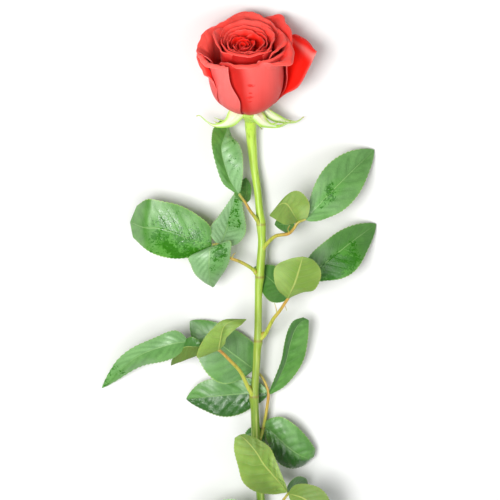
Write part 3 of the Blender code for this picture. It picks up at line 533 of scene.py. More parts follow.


# leaves: a stalk is its points, first and last radius; a leaflet is a net, nine numbers a row for left edge, midrib
# and right edge, or a rib with half widths near base, middle and tip; lift, painted shade (below zero painted sheen)
# and gloss are for left and right half; wet and shades are patches: place along and across, reach along and across,
# strength; the shades are painted shade, and painted sheen where the strength is below zero

plainLeaflet = {"cup": 0.0, "lift": (0, 0), "quilt": 0.35, "crumple": 0.25, "tone": (0, 0), "gloss": (0, 0),
                "wet": [], "shades": [], "under": False}
leaves = {
    "leaf_a": {"stalks": [([(13.5, 75, 10.2), (10.2, 80.9, 13.8), (6.9, 85.9, 16.2), (4.2, 90.7, 17.6),
           (0.4, 96.5, 19.2)], 1.4, 0.8)], "leaflets": [
        {"net": [(-2.9, 97.7, 19, -0.1, 96.8, 19.2, 1.2, 98.3, 19),
          (-9.3, 103.7, 22, -5.3, 105.6, 19.6, 2.3, 104.9, 20.5), (-13.1, 114.1, 23, -8.8, 115.8, 19, 2.8, 113.7, 21),
          (-15.6, 125.2, 21.5, -10.3, 124, 17.5, 2.2, 121.3, 19.5),
          (-15.8, 130.7, 18, -8.6, 129.6, 15, -0.2, 126.8, 16.5), (-14.7, 135.2, 13, -7, 133.7, 11, -4.1, 130.6, 12),
          (-10.4, 139.4, 7, -7.7, 138.4, 6.5, -6.2, 137.3, 7)], "cup": 0.8, "tone": (0.05, -0.7),
         "wet": [(0.45, 0.55, 0.3, 0.3, 0.5)]},
        {"rib": [(4.3, 90.7, 17.4), (4.6, 94, 12.4), (5, 98.2, 8.6), (4.4, 104, 6)], "left": (7, 7.5, 8),
         "right": (3, 2.8, 3.2), "lift": (-2, 0), "tone": (0.7, 0.7)}]},
    "leaf_b": {"stalks": [([(12.6, 44.4, 12.2), (9.4, 48.6, 13.6), (6.3, 51.3, 15), (0.9, 54.9, 17.6),
           (-5.7, 58.4, 20.4), (-8.8, 63.6, 22), (-11.6, 66.2, 22), (-15.4, 66, 20.8)], 1.4, 0.8),
         ([(-3.9, 57.5, 19.6), (-3, 59.8, 20.8), (-1.5, 61.2, 21.2)], 0.4, 0.2)], "leaflets": [
        {"net": [(-15.5, 63.8, 20.6, -16.1, 64.9, 20.8, -16.1, 66.4, 20.8),
          (-21.2, 58.9, 20, -21.2, 66.8, 21.4, -16.8, 76.4, 20.5),
          (-29, 57.6, 18.4, -28.9, 69.5, 21.2, -23.5, 83.2, 19.6),
          (-38.7, 56.8, 17, -39.4, 73.6, 20.4, -34.5, 89.2, 19), (-47.4, 58, 15.8, -48.3, 75.8, 19, -46.2, 92, 18),
          (-55.5, 61.9, 14.8, -56.5, 75.8, 17.4, -54.2, 92.8, 16.6),
          (-63.6, 67.4, 6.5, -65.2, 76.9, 6.5, -61, 87.2, 7.5)], "cup": 0.6, "quilt": 0.15, "tone": (0.25, 0.2),
         "wet": [(0.4, -0.25, 0.38, 0.95, 1)]},
        {"net": [(-14.8, 66.2, 25, -16.6, 65.7, 26, -19.3, 64.5, 25),
          (-5.1, 68.9, 23.5, -17.1, 63.7, 28, -29.3, 59.4, 24),
          (-4.8, 62.1, 23.5, -17.5, 58.3, 28.4, -28.4, 54.3, 24), (-6, 54.7, 22, -17.6, 51.6, 26, -25.7, 48, 22),
          (-10.2, 46.4, 17.5, -17.1, 44.3, 20.5, -21, 42.4, 17.5),
          (-14.6, 38.9, 13.6, -15.5, 38.4, 14, -16.4, 38.8, 13.6)], "cup": 0.8, "quilt": 0.2, "tone": (-0.8, -0.8),
         "wet": [(0.4, -0.45, 0.35, 0.4, 0.7)]},
        {"rib": [(-10.8, 65.8, 21.9), (-7.6, 73.2, 15.8), (-4.5, 82.4, 9.5), (-0.4, 96, 4)], "left": (11.5, 8, 6),
         "right": (11.5, 11.3, 9), "lift": (2, -0.5), "tone": (-1.1, -0.9), "wet": [(0.7, 0.3, 0.3, 0.5, 0.7)]}]},
    "leaf_c": {"stalks": [([(14.1, 60.4, 11.2), (17.4, 65.7, 14.5), (22.4, 70.7, 18), (29.6, 72.7, 21.2),
           (32.8, 76, 23), (35.4, 80, 23.8), (40, 82, 23)], 1.4, 0.8),
         ([(30.2, 73.2, 21.6), (29.5, 76, 23), (30.7, 78.5, 23.5)], 0.4, 0.2)], "leaflets": [
        {"rib": [(39.6, 81.8, 23.1), (51.5, 94.7, 22.5), (66.5, 108.3, 14.5), (81.4, 120, 1)], "left": (7, 13, 15.5),
         "right": (12, 14, 13.5), "lift": (1, -2), "quilt": 0.2, "tone": (-0.25, -0.15),
         "wet": [(0.36, 0, 0.2, 0.35, 0.8)]},
        {"net": [(34.6, 80.1, 23.6, 35.6, 81, 23.8, 36.9, 81.6, 23.6), (30.7, 79.7, 27, 32.7, 86.3, 29, 41, 84.1, 27),
          (26.8, 80.4, 30, 29.7, 92, 33.4, 41.9, 93.3, 31), (24.1, 82.2, 31.5, 26.9, 94.1, 35, 36.1, 100.7, 33),
          (21.3, 84.2, 32.4, 23.2, 92.2, 35, 28.7, 98.8, 34), (18.8, 85.7, 32.6, 18.5, 86.2, 33, 19.1, 87.2, 32.8)],
         "cup": 0.4, "under": True, "quilt": 0.2, "tone": (0.9, 0.25), "shades": [(0.22, 0.85, 0.17, 0.45, -0.7)]},
        {"rib": [(33.4, 77, 22.8), (28.5, 77.2, 15), (21.8, 75.4, 7)], "left": (5.5, 6, 6), "right": (5.5, 6, 6),
         "tone": (0.8, 0.8)}]},
    "leaf_d": {"stalks": [([(11.9, 5, 12.6), (16, 9.4, 15), (20.7, 19.8, 20), (24.9, 26.1, 23), (29.6, 34.4, 27),
           (34.4, 41, 25), (39.8, 46.5, 22.1)], 1.5, 0.8),
         ([(23.1, 23.6, 21.8), (22.5, 27.6, 23.2), (21.6, 30.7, 23.4)], 0.4, 0.2),
         ([(25.6, 27.4, 23.8), (27.8, 29.5, 25.5), (28.8, 26.7, 25.5)], 0.4, 0.2)], "leaflets": [
        {"rib": [(39.4, 46.1, 22.2), (52.3, 55.5, 21.5), (66.9, 65.6, 14), (83, 74.6, 1)], "left": (10.5, 10.6, 12),
         "right": (11.5, 16, 16), "lift": (1, -2), "quilt": 0.2, "wet": [(0.4, 0.45, 0.3, 0.6, 1)],
         "tone": (0.7, 0.7)},
        {"net": [(28.4, 35.3, 27, 29.6, 34.3, 27.3, 30.8, 35, 27), (23.6, 40.5, 31, 31.3, 40.2, 33.5, 38.4, 39.4, 32),
          (21.4, 47.4, 35.5, 33.4, 46.6, 39, 44.9, 41.6, 36), (21.2, 54.5, 39, 35.2, 53.3, 43, 48.3, 48.5, 39),
          (24.2, 59.6, 43, 36.5, 58.9, 46, 48.4, 55.4, 42.5), (30.4, 62.9, 46.4, 37.4, 62.8, 48.4, 44.5, 61.6, 45.6),
          (34.8, 64.2, 48.2, 37.7, 64.8, 49, 40.6, 64, 48)], "cup": 0.5, "under": True, "quilt": 0.2,
         "tone": (0, 0.2), "shades": [(0.5, -0.9, 0.35, 0.6, -0.35)]},
        {"rib": [(29.2, 34, 26.6), (21.6, 41, 14), (9.6, 48.5, 3)], "left": (10, 10, 10), "right": (10, 10, 10),
         "tone": (0.9, 0.9)}]},
    "leaf_e": {"joints": [2.6], "stalks": [([(9.3, -30.6, 12.2), (6, -23.9, 16), (1.2, -12.3, 22), (-4.8, -4.1, 27),
           (-11.7, 3.7, 31), (-17.7, 5.1, 29), (-23.1, 5.2, 26.2), (-31, 7.2, 23.4)], 1.5, 0.8)], "leaflets": [
        {"rib": [(-30.6, 7.1, 23.5), (-43, 5.3, 25), (-62.6, -4.6, 18), (-83.8, -27.9, 1)], "left": (10.5, 10, 8),
         "right": (8.5, 5.5, 8.5), "lift": (-5, -3), "quilt": 0.2, "tone": (-0.2, -0.45),
         "wet": [(1, 0, 0.2, 2, 0.6)]},
        {"net": [(-13.5, 2.9, 30.8, -11.8, 3.3, 31, -11.1, 4, 31), (-24, -1, 31.5, -11.2, 7.9, 35.5, -8.2, 9, 37),
          (-24.1, 4.4, 35, -10.5, 12.1, 38.6, -7.5, 12.9, 41), (-20.3, 12.7, 38.5, -9.5, 18, 41.4, -5.9, 15.9, 44),
          (-15.2, 19.5, 41, -7.8, 22, 43, -2.5, 19.3, 44.6), (-8.5, 24.8, 41.4, -3.1, 24.4, 42.6, 1.3, 21.8, 43),
          (3.8, 24.5, 38, 4.7, 24.2, 38, 4.2, 23.5, 38)], "cup": 0.4, "under": True, "quilt": 0.15,
         "shades": [(0.4, 0.2, 0.35, 0.22, 0.8)]},
        {"net": [(-23.7, 4, 26.4, -23.3, 5.2, 27, -23.1, 5.9, 27), (-25, -1.4, 23.5, -27, 4.7, 26, -23.7, 8.4, 27.5),
          (-32.3, -5.3, 20.5, -31.4, 4.2, 24, -28.5, 10.7, 26.5),
          (-37.9, -8.5, 16.5, -35.9, 0.5, 19.5, -33.7, 5.5, 21),
          (-41.1, -10.9, 12, -40.7, -8.1, 13, -39.6, -5.1, 13.6)], "cup": 0.5, "under": "left", "tone": (2.2, 0.8)}]},
    "leaf_f": {"joints": [-52], "stalks": [([(11, -64.4, 10.2), (12.6, -59.6, 6.6), (14.9, -52.3, 5.8),
           (17.3, -38.8, 6.4), (18, -28.5, 7), (14.2, -19.6, 6.2), (9, -14.6, 5.5)], 1.4, 0.8)], "leaflets": [
        {"rib": [(9.2, -14.8, 5.5), (-1.6, -6.1, 7), (-16.2, 5.2, 7), (-29.6, 14.5, 2)], "left": (21.5, 19, 16),
         "right": (14, 12.5, 11.5), "lift": (1, -2), "quilt": 0.12, "tone": (0.4, 0.4)},
        {"rib": [(17.6, -29.2, 6.9), (2.6, -30.5, 4.4), (-15.7, -31.8, 5.6), (-32.1, -34.9, 1)],
         "left": (10, 14.5, 14), "right": (10.5, 10.5, 14), "lift": (-1, -1.2), "quilt": 0.3, "tone": (1.5, 0.35),
         "gloss": (1, 0), "crumple": 0.9},
        {"net": [(18.3, -29, 7.4, 18.7, -29.5, 7.3, 19.4, -30.3, 7.2),
          (21.9, -18.4, 12.5, 24.2, -19.5, 10, 27.7, -25.4, 7), (25.9, -6.2, 16.5, 28.5, -8.1, 13, 34.9, -16.8, 8),
          (27.4, 3.5, 19, 30.8, 2.6, 15.5, 39.8, -6.8, 9.5), (29.5, 12.8, 20.5, 33.4, 11.7, 17, 41.8, 4.4, 11.5),
          (33.1, 18.9, 19.5, 37.1, 17.1, 16.5, 42.3, 12.8, 13), (38.9, 20, 15, 41.3, 18.6, 13.8, 42.5, 17.5, 13.2)],
         "cup": 0.3, "quilt": 0.3, "tone": (1, 0.1)},
        {"net": [(16.1, -47.9, 5.8, 15.8, -49.4, 6, 16.1, -51.4, 5.6),
          (20.3, -44.6, 9.4, 19.4, -52.1, 10, 17, -57.7, 8), (27, -43.9, 11, 25, -57.2, 12, 20.1, -65.3, 9),
          (35, -49.1, 11, 31.2, -63, 12.4, 24.7, -73.7, 8.5), (42.2, -57.7, 9, 37.6, -67.9, 11, 32, -77.5, 6.5),
          (46.3, -64.4, 6, 42.4, -70.2, 8.4, 38.9, -77, 4), (47.1, -66.8, 4.4, 46, -70.1, 5.6, 43.2, -74.3, 3)],
         "cup": 0.8, "quilt": 0.5, "tone": (-0.1, 0), "gloss": (0, 0.8), "crumple": 0.6,
         "shades": [(0.66, 0.85, 0.34, 0.66, 1.6)]},
        {"rib": [(14.6, -52.6, 5.8), (9.4, -57.8, 4.2), (5.1, -67, 2.6), (3.2, -76.6, 1.2)], "left": (8, 9, 9),
         "right": (6.5, 5, 4.5), "tone": (0.9, 0.9)}]},
    "leaf_g": {"stalks": [([(14.9, -117.6, 9.2), (17.4, -111.4, 11.6), (19.8, -105.8, 14), (25.2, -96.1, 21),
           (30.3, -86.6, 28)], 1.5, 0.8)], "leaflets": [
        {"net": [(27, -87, 27, 29.4, -86.2, 27.5, 29.4, -84.2, 27.5),
          (20.2, -86.9, 29.5, 25.7, -79.8, 31.4, 28.5, -79.9, 31.8),
          (10.5, -84.2, 33.5, 20.8, -72.2, 36.8, 25.4, -70.5, 37),
          (2.7, -76.9, 36.6, 15.3, -64.3, 41, 22.3, -61.8, 41), (-0.3, -66, 39.6, 10.5, -55.6, 44, 18.6, -53.1, 43),
          (-2.6, -55.6, 41, 5.1, -49.1, 44, 11.4, -48.1, 43.2), (-2.3, -47.9, 41.6, 0.6, -45.8, 42, 3.3, -45.1, 42)],
         "cup": 0.6, "under": True, "quilt": 0.9, "crumple": 1.5, "tone": (0.1, -0.1),
         "shades": [(0.28, -0.8, 0.22, 0.45, 0.9), (0.85, 0.5, 0.25, 0.8, 1), (0.35, 0.9, 0.25, 0.35, -0.5)]},
        {"rib": [(30.4, -86.9, 27.7), (39.5, -88, 34.5), (48, -95, 36), (56.2, -108.6, 28)], "left": (9, 11, 11),
         "right": (11, 12.5, 12), "lift": (0, -3), "under": True, "tone": (1.3, 0.8)},
        {"rib": [(29.8, -87.4, 27.3), (33.5, -86, 20), (38, -87, 11), (42, -90.3, 4)], "left": (5, 6.5, 6),
         "right": (5, 6.5, 6), "tone": (0.8, 0.8)}]},
    "leaf_h": {"stalks": [([(12.2, -165.4, 6.4), (14.4, -157, 9.4), (16.8, -147.8, 13), (18, -129.8, 19.6),
           (14.2, -116.6, 24), (11.2, -108.9, 26.6)], 1.5, 0.8)], "leaflets": [
        {"rib": [(11.8, -109.6, 26.4), (0.8, -105, 29.4), (-12.1, -104.6, 26), (-27.7, -110.9, 14)],
         "left": (12, 13.5, 13), "right": (12, 13.5, 13), "lift": (-3, -1)},
        {"rib": [(17.5, -125, 21.4), (28.4, -127.2, 21), (41.4, -136.4, 15), (53.5, -151, 4)],
         "left": (12.5, 13.5, 13), "right": (12.5, 13.5, 13), "lift": (-1, -1)},
        {"rib": [(17.3, -125.6, 21), (5.7, -129.1, 21.5), (-8.6, -140.9, 15), (-20.4, -157.1, 4)],
         "left": (12.5, 13.5, 13), "right": (12.5, 13.5, 13), "lift": (-1, -1)}]},
}


def leafletGrid(leaflet, rows, columns, order):
    t, s = np.linspace(0, 1, rows + 1), np.linspace(-1, 1, columns + 1)
    along, across = np.meshgrid(t, np.sign(s) * np.abs(s) ** 1.3, indexing="ij")  # finer near the midrib
    away = np.abs(across)
    shape = t ** 0.6 * (1 - t) ** 0.8 / 0.384  # the outline, 1 at its widest
    full = np.minimum(shape, 1.0)[:, None]
    belly = 4 * away * (1 - away) * full  # 1 midway from rib to edge
    center, reach, ahead = bladeLines(leaflet, t, across, shape, 0.5 * (1 - t) + 0.1 * t)
    tooth = leafLook["turnedTooth" if leaflet["under"] else "tooth"]
    bite = tooth * (np.mod(along * leafLook["teeth"], 1.0) - 0.35) * np.minimum(1, 1.6 * shape)[:, None] * away ** 12
    phase = (along - leafLook["slant"] * away ** 1.2 * (1 - 0.35 * along)) * leafLook["pairs"] + 0.5 * (across > 0)
    swell = leaflet["quilt"] * (0.5 - 0.5 * np.cos(2 * np.pi * phase)) * belly  # domes between side veins
    swell = swell * (1 + 2.2 * np.where(across < 0, *leaflet["gloss"]) * (0.6 + 0.4 * np.sin(along * 31 + order)))
    wave = 0.45 * np.sin(along * 17 + order * 2.1 + 2.4 * (across > 0)) * away ** 2 * full
    crumple = 0.45 * np.sin(along * 23 + across * 9) * np.sin(along * 11 - across * 17 + order) * belly
    lift = np.where(across < 0, *leaflet["lift"]) * full * away ** 1.4 + leaflet["cup"] * belly
    lift = lift + leaflet["crumple"] * crumple + (-swell if leaflet["under"] is True else swell) + wave
    grid = center + reach * away[..., None] + unit(reach) * bite[..., None]
    return grid + ahead * (0.4 * np.maximum(bite, 0))[..., None] + up * lift[..., None], along, across


def patches(spots, along, across):
    return sum((strength * np.exp(-((along - a) / long) ** 4) * np.exp(-((across - b) / wide) ** 4)
                for a, b, long, wide, strength in spots), 0.0 * along)


def makeLeaf(name, leaf, number):
    title = "leaf" + name[-1].upper()
    bars = []
    for points, start, end in leaf["stalks"]:
        t = np.linspace(0, 1, leafLook["stalkSteps"] * len(points))  # the main stalk flares where it meets the stem
        radius = end + (start - end) * (1 - t) ** 2 + (0.5 * np.exp(-(t / 0.05) ** 2) if start > 1 else 0)
        bars.append(np.column_stack([pathPoints(points, t), radius]))
    stalk = sweep(title + "Stalk", bars, leafLook["stalkSides"], stalkSkin, leaf.get("joints", ()))
    place(stalk, name)
    pile = SheetPile()
    rows, columns = leafLook["teeth"] * leafLook["toothRows"], leafLook["columns"]
    for order, leaflet in enumerate(leaf["leaflets"]):
        leaflet = {**plainLeaflet, **leaflet}
        grid, along, across = leafletGrid(leaflet, rows, columns, order + 3 * number)
        away = np.abs(across)
        thick = leafLook["thick"] * (1 - 0.55 * away ** 6)
        thick = thick + leafLook["ribThick"] * np.exp(-(away / 0.05) ** 2) * (1 - along)
        turned = across[1:, 1:] <= 0.001 if leaflet["under"] == "left" else np.full((rows, columns), leaflet["under"])
        # painted shade for each half and in patches; below zero it is painted sheen
        shadeSheenLeft, shadeSheenRight = leaflet["tone"]
        tone = 0.6 * (shadeSheenLeft + (shadeSheenRight - shadeSheenLeft) * smooth(across, -0.1, 0.1))
        tone = tone + patches(leaflet["shades"], along, across)
        glossLeft, glossRight = leaflet["gloss"]
        gloss = glossLeft * smooth(-across, -0.1, 0.3) + glossRight * smooth(across, -0.1, 0.3)
        pile.add(grid, thick, (turned.astype(int), 1 - turned.astype(int), int(turned[0, 0])), along=along,
                 across=across, wet=patches(leaflet["wet"], along, across), tone=tone, gloss=gloss)
    blades = place(pile.mesh(title + "Blades", [leafTop, leafUnder]), name)
    if any("wet" in leaflet for leaflet in leaf["leaflets"]):
        water = bake(title + "Drops", blades, dropTree, Seed=number + 3, Water=waterSkin)
        place(water, None)
        print(title, "drops", len(water.polygons))


for number, (name, leaf) in enumerate(leaves.items()):
    makeLeaf(name, leaf, number)
print("leaves made")


# bloom: a petal is its body radius and its rim, whose points are degrees, radius, height, roll of the lip

bloomLook = {"base": (7.0, 143.0, 11.8), "rise": 25.0, "lean": 2.5, "coreSides": 48,
             "core": [(0, 5), (4, 5.6), (9.6, 8.8), (13.8, 13.5), (15.8, 19), (15.8, 28), (14, 35), (8, 38),
                     (0, 38.5)]}
lean, rise = math.radians(bloomLook["lean"]), math.radians(bloomLook["rise"])
bloomUp = unit(np.array([-math.sin(lean), math.cos(lean) * math.cos(rise), math.sin(rise)]))
bloomRight = unit(np.array([1.0, 0.0, 0.0]) - bloomUp * bloomUp[0])
bloomFront = np.cross(bloomRight, bloomUp)
# a petal's colour can be pushed toward its lit red, painted light, and below zero toward its deep red, painted shade;
# the front right petal gets a painted shadow beside the front left petal's edge, and the front left petal a wash of
# painted light
plainPetal = {"rows": 64, "columns": 48, "thick": 0.5, "foot": None, "glow": 0.0, "ruffle": 1.0, "dip": 0.0,
              "tuck": 0.0, "lift": 0.0, "recess": 0.0, "paintedLightWash": 0.0, "paintedShadow": 0.0}
outerPetals = {
    # a painted shadow beside the front left petal's edge
    "frontRight": {"body": 20.9, "recess": 1.3, "paintedShadow": 2.3,
        "rim": [(-10, 22, 46, 0.6), (18, 22.4, 47.6, 1.2), (42, 21.4, 48.2, 1.2), (62, 19.4, 48.4, 1.2),
         (74, 20.2, 48.2, 1.8), (86, 20.6, 48.3, 2), (101, 20.3, 48.1, 1.8), (114, 19.6, 47.4, 1.2),
         (128, 18.4, 45.4, 0.6)]},
    # washed lighter all over: painted light
    "frontLeft": {"body": 22, "lift": 1.5, "paintedLightWash": 0.22,
        "rim": [(118, 21, 46.4, 0.8), (128, 21.6, 45.6, 1.6), (140, 22.6, 44.9, 2.4), (153, 24.8, 44.9, 2.7),
         (166, 26.2, 45.4, 2.4), (178, 27.6, 45.8, 1.6)],
        "sides": ([112, 110, 105, 102.6, 114, 117, 118, 118, 118, 118],
         [165, 195, 205, 208, 203, 190, 180, 178, 178, 178])},
    "right": {"body": 19.8,
        "rim": [(62, 18.2, 48, 0.8), (52, 21.6, 47.4, 1.6), (42, 25.4, 47.4, 3), (31, 27.4, 47.8, 4.2),
         (18, 26.2, 49, 3.8), (4, 24.6, 49.8, 2.2), (-12, 23.6, 49.6, 0.8)]},
    "left": {"body": 20.2, "glow": 1.2,
        "rim": [(166, 25, 47, 0.8), (177, 28, 46.6, 1.2), (188, 28.6, 47.2, 1.2), (198, 27.2, 50.4, 1),
         (206, 26.4, 52, 0.8), (218, 24, 52.4, 0.6)]},
    "lowLeft": {"body": 22.8,
        "rim": [(152, 24, 33, 0.6), (160, 27, 38, 1), (168, 28, 43, 1.2), (184, 27.6, 46, 1), (206, 25, 50, 0.8)]},
    "backLeft": {"body": 21, "glow": 1,
        "rim": [(194, 28.6, 46.5, 0.5), (203, 27.4, 50, 0.6), (213, 25.6, 51.9, 0.7), (224, 24, 52.8, 0.8),
         (236, 23.5, 53.4, 0.9), (250, 25.2, 54.2, 0.8), (264, 26.2, 54.4, 0.6)]},
    "back": {"body": 20.2, "glow": 1,
        "rim": [(254, 25.5, 54.2, 0.6), (269, 27.4, 54.5, 0.8), (280, 26.8, 54.5, 0.8), (292, 24.2, 54, 0.8),
         (304, 22.8, 53, 0.8), (320, 20.8, 51.8, 0.6)]},
    "backRight": {"body": 22.6,
        "rim": [(288, 26, 51.5, 0.5), (295, 28, 51.2, 0.6), (302, 31.8, 51.2, 0.4), (308, 35.2, 51, 0.3),
         (317, 30.6, 51, 0.6), (328, 28.2, 51, 1.2), (344, 27, 50.4, 1.4), (356, 25.6, 48, 1)]},
}
# the petal bent out on the right, rows of four points from its foot to its rolled lip
farPetal = [
    ((18.8, 152.9, 11), (19.4, 151.6, 12), (20, 150.6, 13), (21.1, 149.8, 14)),
    ((22.9, 165.1, 12), (25, 161.8, 14), (26.4, 158.5, 16), (27, 155.9, 18)),
    ((26.4, 177.2, 14), (30.2, 171.7, 17), (33.1, 166.3, 21), (35.1, 161.4, 24)),
    ((28.7, 185.8, 15.5), (34, 180.9, 19), (38, 175.8, 23), (40.9, 171.8, 26.5)),
    ((30.7, 190.6, 16.5), (36, 187.1, 19.5), (41.2, 184.2, 24.2), (45.5, 181.8, 28.5)),
    ((32.8, 191.3, 15.6), (38.1, 189.3, 18), (42.7, 185.8, 22.4), (45.8, 182.2, 27.4)),
    ((34.3, 190.8, 13), (39.3, 188.6, 14.6), (43.2, 184.9, 19.6), (45.4, 182.4, 26.4))]
ringLook = {"rows": 44, "dip": 2.2}  # for each of the twelve below
# each ring petal's painted light, or painted shade below zero, is set with it
ringPetals = {
    "ringRight": {"body": 16.8, "glow": 0.6,
        "rim": [(-54, 21.6, 51.4, 0.6), (-38, 23.2, 50.8, 1.4), (-18, 22.8, 50.4, 1.8), (0, 22, 50.3, 1.8),
         (16, 19.6, 50.2, 1.3), (34, 17.8, 49.2, 0.8), (56, 17.6, 47.8, 0.6)]},
    "ringLeft": {"body": 15.4, "glow": 0.8, "tuck": 3,
        "rim": [(240, 21.4, 53.2, 0.6), (222, 21.6, 52.6, 1), (205, 20.4, 52.4, 1.2), (186, 17.6, 52, 1.2),
         (166, 16.4, 51.2, 0.8), (147, 16.2, 50.4, 0.5), (128, 15.6, 49.8, 0.4), (104, 15, 49.4, 0.3)]},
    "ringFront": {"body": 13.6, "glow": -0.6, "ruffle": 0.8,
        "rim": [(216, 16.2, 52.8, 0.5), (190, 14.4, 52, 0.8), (165, 13.8, 51.2, 0.9), (140, 13.4, 50.7, 1),
         (105, 13, 50.5, 1.1), (80, 13.4, 50.6, 1.1), (52, 14.6, 51.4, 1), (28, 15.8, 51.8, 0.8)]},
    "ringBack": {"body": 15.6, "glow": 1,
        "rim": [(202, 16.6, 52.6, 0.4), (228, 18.6, 53.4, 0.7), (250, 18.6, 54, 0.8), (277, 18.2, 54.1, 0.8),
         (298, 19.2, 53.6, 0.8), (320, 18.6, 52.2, 0.6), (338, 17, 51.4, 0.4)]},
    "ringInner": {"body": 14.4, "glow": 0.8,
        "rim": [(-68, 17.6, 53.2, 0.3), (-48, 17.6, 52.6, 0.5), (-28, 16.8, 52.2, 0.6), (-8, 16.4, 52.1, 0.6),
         (10, 15.6, 51.9, 0.6), (30, 14.8, 51.5, 0.5), (50, 14.2, 50.6, 0.3)]},
    "innerBack": {"body": 13.2, "glow": 1,
        "rim": [(172, 13.2, 51, 0.3), (196, 13.4, 51.8, 0.4), (222, 14, 52.8, 0.6), (248, 14.6, 53.2, 0.7),
         (270, 14, 53.2, 0.6), (292, 13.8, 52.6, 0.6), (318, 13.6, 51.6, 0.5), (344, 13.4, 50.6, 0.3)]},
    "innerLeft": {"body": 10.8, "glow": 0.7,
        "rim": [(310, 10.6, 51.6, 0.3), (284, 11.2, 52.2, 0.4), (260, 11.8, 52.3, 0.5), (236, 12.2, 52, 0.5),
         (212, 12.4, 51.2, 0.4), (188, 12.6, 50.4, 0.3)]},
    "innerFront": {"body": 10.6, "glow": -0.4,
        "rim": [(178, 12.4, 50.2, 0.3), (150, 12, 50.2, 0.4), (122, 10.8, 49.9, 0.5), (94, 10.4, 49.8, 0.5),
         (66, 11, 49.9, 0.5), (38, 12.2, 50.2, 0.4), (12, 13, 50.4, 0.3)]},
    "innerRight": {"body": 9, "glow": -0.4,
        "rim": [(140, 8.6, 49.4, 0.2), (112, 8.6, 49.6, 0.4), (84, 8.8, 49.6, 0.5), (56, 9.8, 49.8, 0.5),
         (28, 11.2, 50.2, 0.3)]},
    "foldRight": {"body": 11.6,
        "rim": [(-78, 11.4, 51.6, 0.2), (-50, 12, 51.4, 0.4), (-22, 12.2, 51, 0.5), (8, 12, 50.8, 0.5),
         (38, 11.2, 50.4, 0.4), (62, 10.4, 50, 0.2)]},
    "foldDeep": {"body": 9.4,
        "rim": [(-96, 9.2, 51, 0.2), (-64, 9.8, 51, 0.4), (-30, 10.2, 50.8, 0.5), (4, 10, 50.5, 0.5),
         (40, 9.2, 50.1, 0.4), (70, 8.6, 49.8, 0.2)]},
    "foldLeft": {"body": 10,
        "rim": [(110, 9.6, 49.6, 0.2), (136, 10.4, 49.9, 0.4), (164, 10.8, 50.2, 0.5), (192, 10.6, 50.6, 0.5),
         (222, 10, 51, 0.4), (252, 9.4, 51.2, 0.2)]},
}
# the heart's petals are darkened: painted shade deep in the whorl
heartLook = {"petals": 11, "firstRadius": 7.4, "lastRadius": 1.1, "low": 49.4, "rise": 0.9, "tilt": 0.9,
             "shift": (-2.0, 0.3), "turn": 137.5,
             "petal": {"rows": 32, "columns": 36, "thick": 0.22, "glow": -1.0},
             "rim": [(-1, 0.6, 2.4, 0.1), (-0.5, 0.7, 0.5, 0.4), (0, 0.3, 0.0, 0.55), (0.5, -0.1, 0.4, 0.4),
                     (1, -0.6, 2.2, 0.1)]}  # step aside, wider, drop, roll


def inBloom(degrees, radius, height):
    a = np.radians(degrees)[..., None]
    radius, height = np.asarray(radius)[..., None], np.asarray(height)[..., None]
    return bloomLook["base"] + bloomRight * radius * np.cos(a) + bloomFront * radius * np.sin(a) + bloomUp * height


def petalGrid(petal, order):
    body, rim = petal["body"], petal["rim"]
    t, u = np.linspace(0, 1, petal["rows"] + 1), np.linspace(-1, 1, petal["columns"] + 1)
    along, across = np.meshgrid(t, u, indexing="ij")
    turn, out, height, roll = pathPoints(rim, (u + 1) / 2).T
    out = out + petal["ruffle"] * (0.3 * np.sin(u * 6.5 + order * 1.7) + 0.2 * np.sin(u * 14 + order))
    height = height - petal["dip"] * smooth(np.abs(u), 0.6, 1.0)
    height = height + petal["ruffle"] * (0.25 * np.sin(u * 8.2 + order * 2.3) + 0.15 * np.sin(u * 19 + order))
    spread = out - body  # the knots are radius and height, from the foot up the body and over the lip
    if petal["foot"]:
        knots = [(r + 0 * u, h + 0 * u) for r, h in petal["foot"]] + [(body + 0.25 * spread, height - 3.5)]
    else:
        knots = [(2.5, 4.7), (body * 0.5, 7.2), (body * 0.87, 15.0), (body, 25.0), (body + 0.04 * spread, 35.0)]
        knots = [(r + 0 * u, np.minimum(h, height * (0.15 + 0.17 * k))) for k, (r, h) in enumerate(knots)]
        knots.append((body + 0.3 * spread, height - 4.4))
    knots += [(body + 0.75 * spread, height - 1.0), (out, height), (out + 0.5 * roll, height - 0.15 * roll),
              (out + 0.75 * roll, height - 0.7 * roll)]
    levels = pathPoints(np.stack([np.stack(k, -1) for k in knots]), t)
    if "sides" in petal:  # degrees of both sides from foot to rim
        first, last = (pathPoints(side, t)[:, None] for side in petal["sides"])
        degrees = first + (last - first) * (across + 1) / 2
    elif petal["foot"]:
        degrees = turn + 0 * along
    else:
        middle = np.mean([point[0] for point in rim])
        # share of the rim's angle, small at the foot and largest midway
        wide = 0.6 + 0.4 * np.minimum(1, along / 0.4) + 2.0 * along * np.clip(1 - along, 0, 1) ** 1.5
        degrees = middle + (turn - middle) * wide
    drift = 0.35 * u + 0.25 * np.sin(along * 7 + order) * np.sin(u * 3 + order * 1.3) * smooth(along, 0.1, 0.5)
    drift = drift + petal["lift"] * smooth(-across, 0.55, 1.0) * smooth(along, 0.1, 0.35)
    drift = drift - petal["recess"] * smooth(degrees, 90.0, 112.0) * (1 - smooth(along, 0.5, 0.62))
    drift = drift - petal["tuck"] * smooth(across, 0.35, 0.85)
    return inBloom(degrees, levels[..., 0] + drift, levels[..., 1]), along, across, degrees


def petalMarks(along, across, order):  # the light line along lip and sides is a painted highlight
    blush = 0.35 * np.exp(-((along - 1.0) / 0.02) ** 2) + 0.12 * np.exp(-((np.abs(across) - 1.0) / 0.02) ** 2)
    return {"along": along, "across": across, "tone": (order * 0.37) % 1.0, "glow": 0.0, "blush": blush}


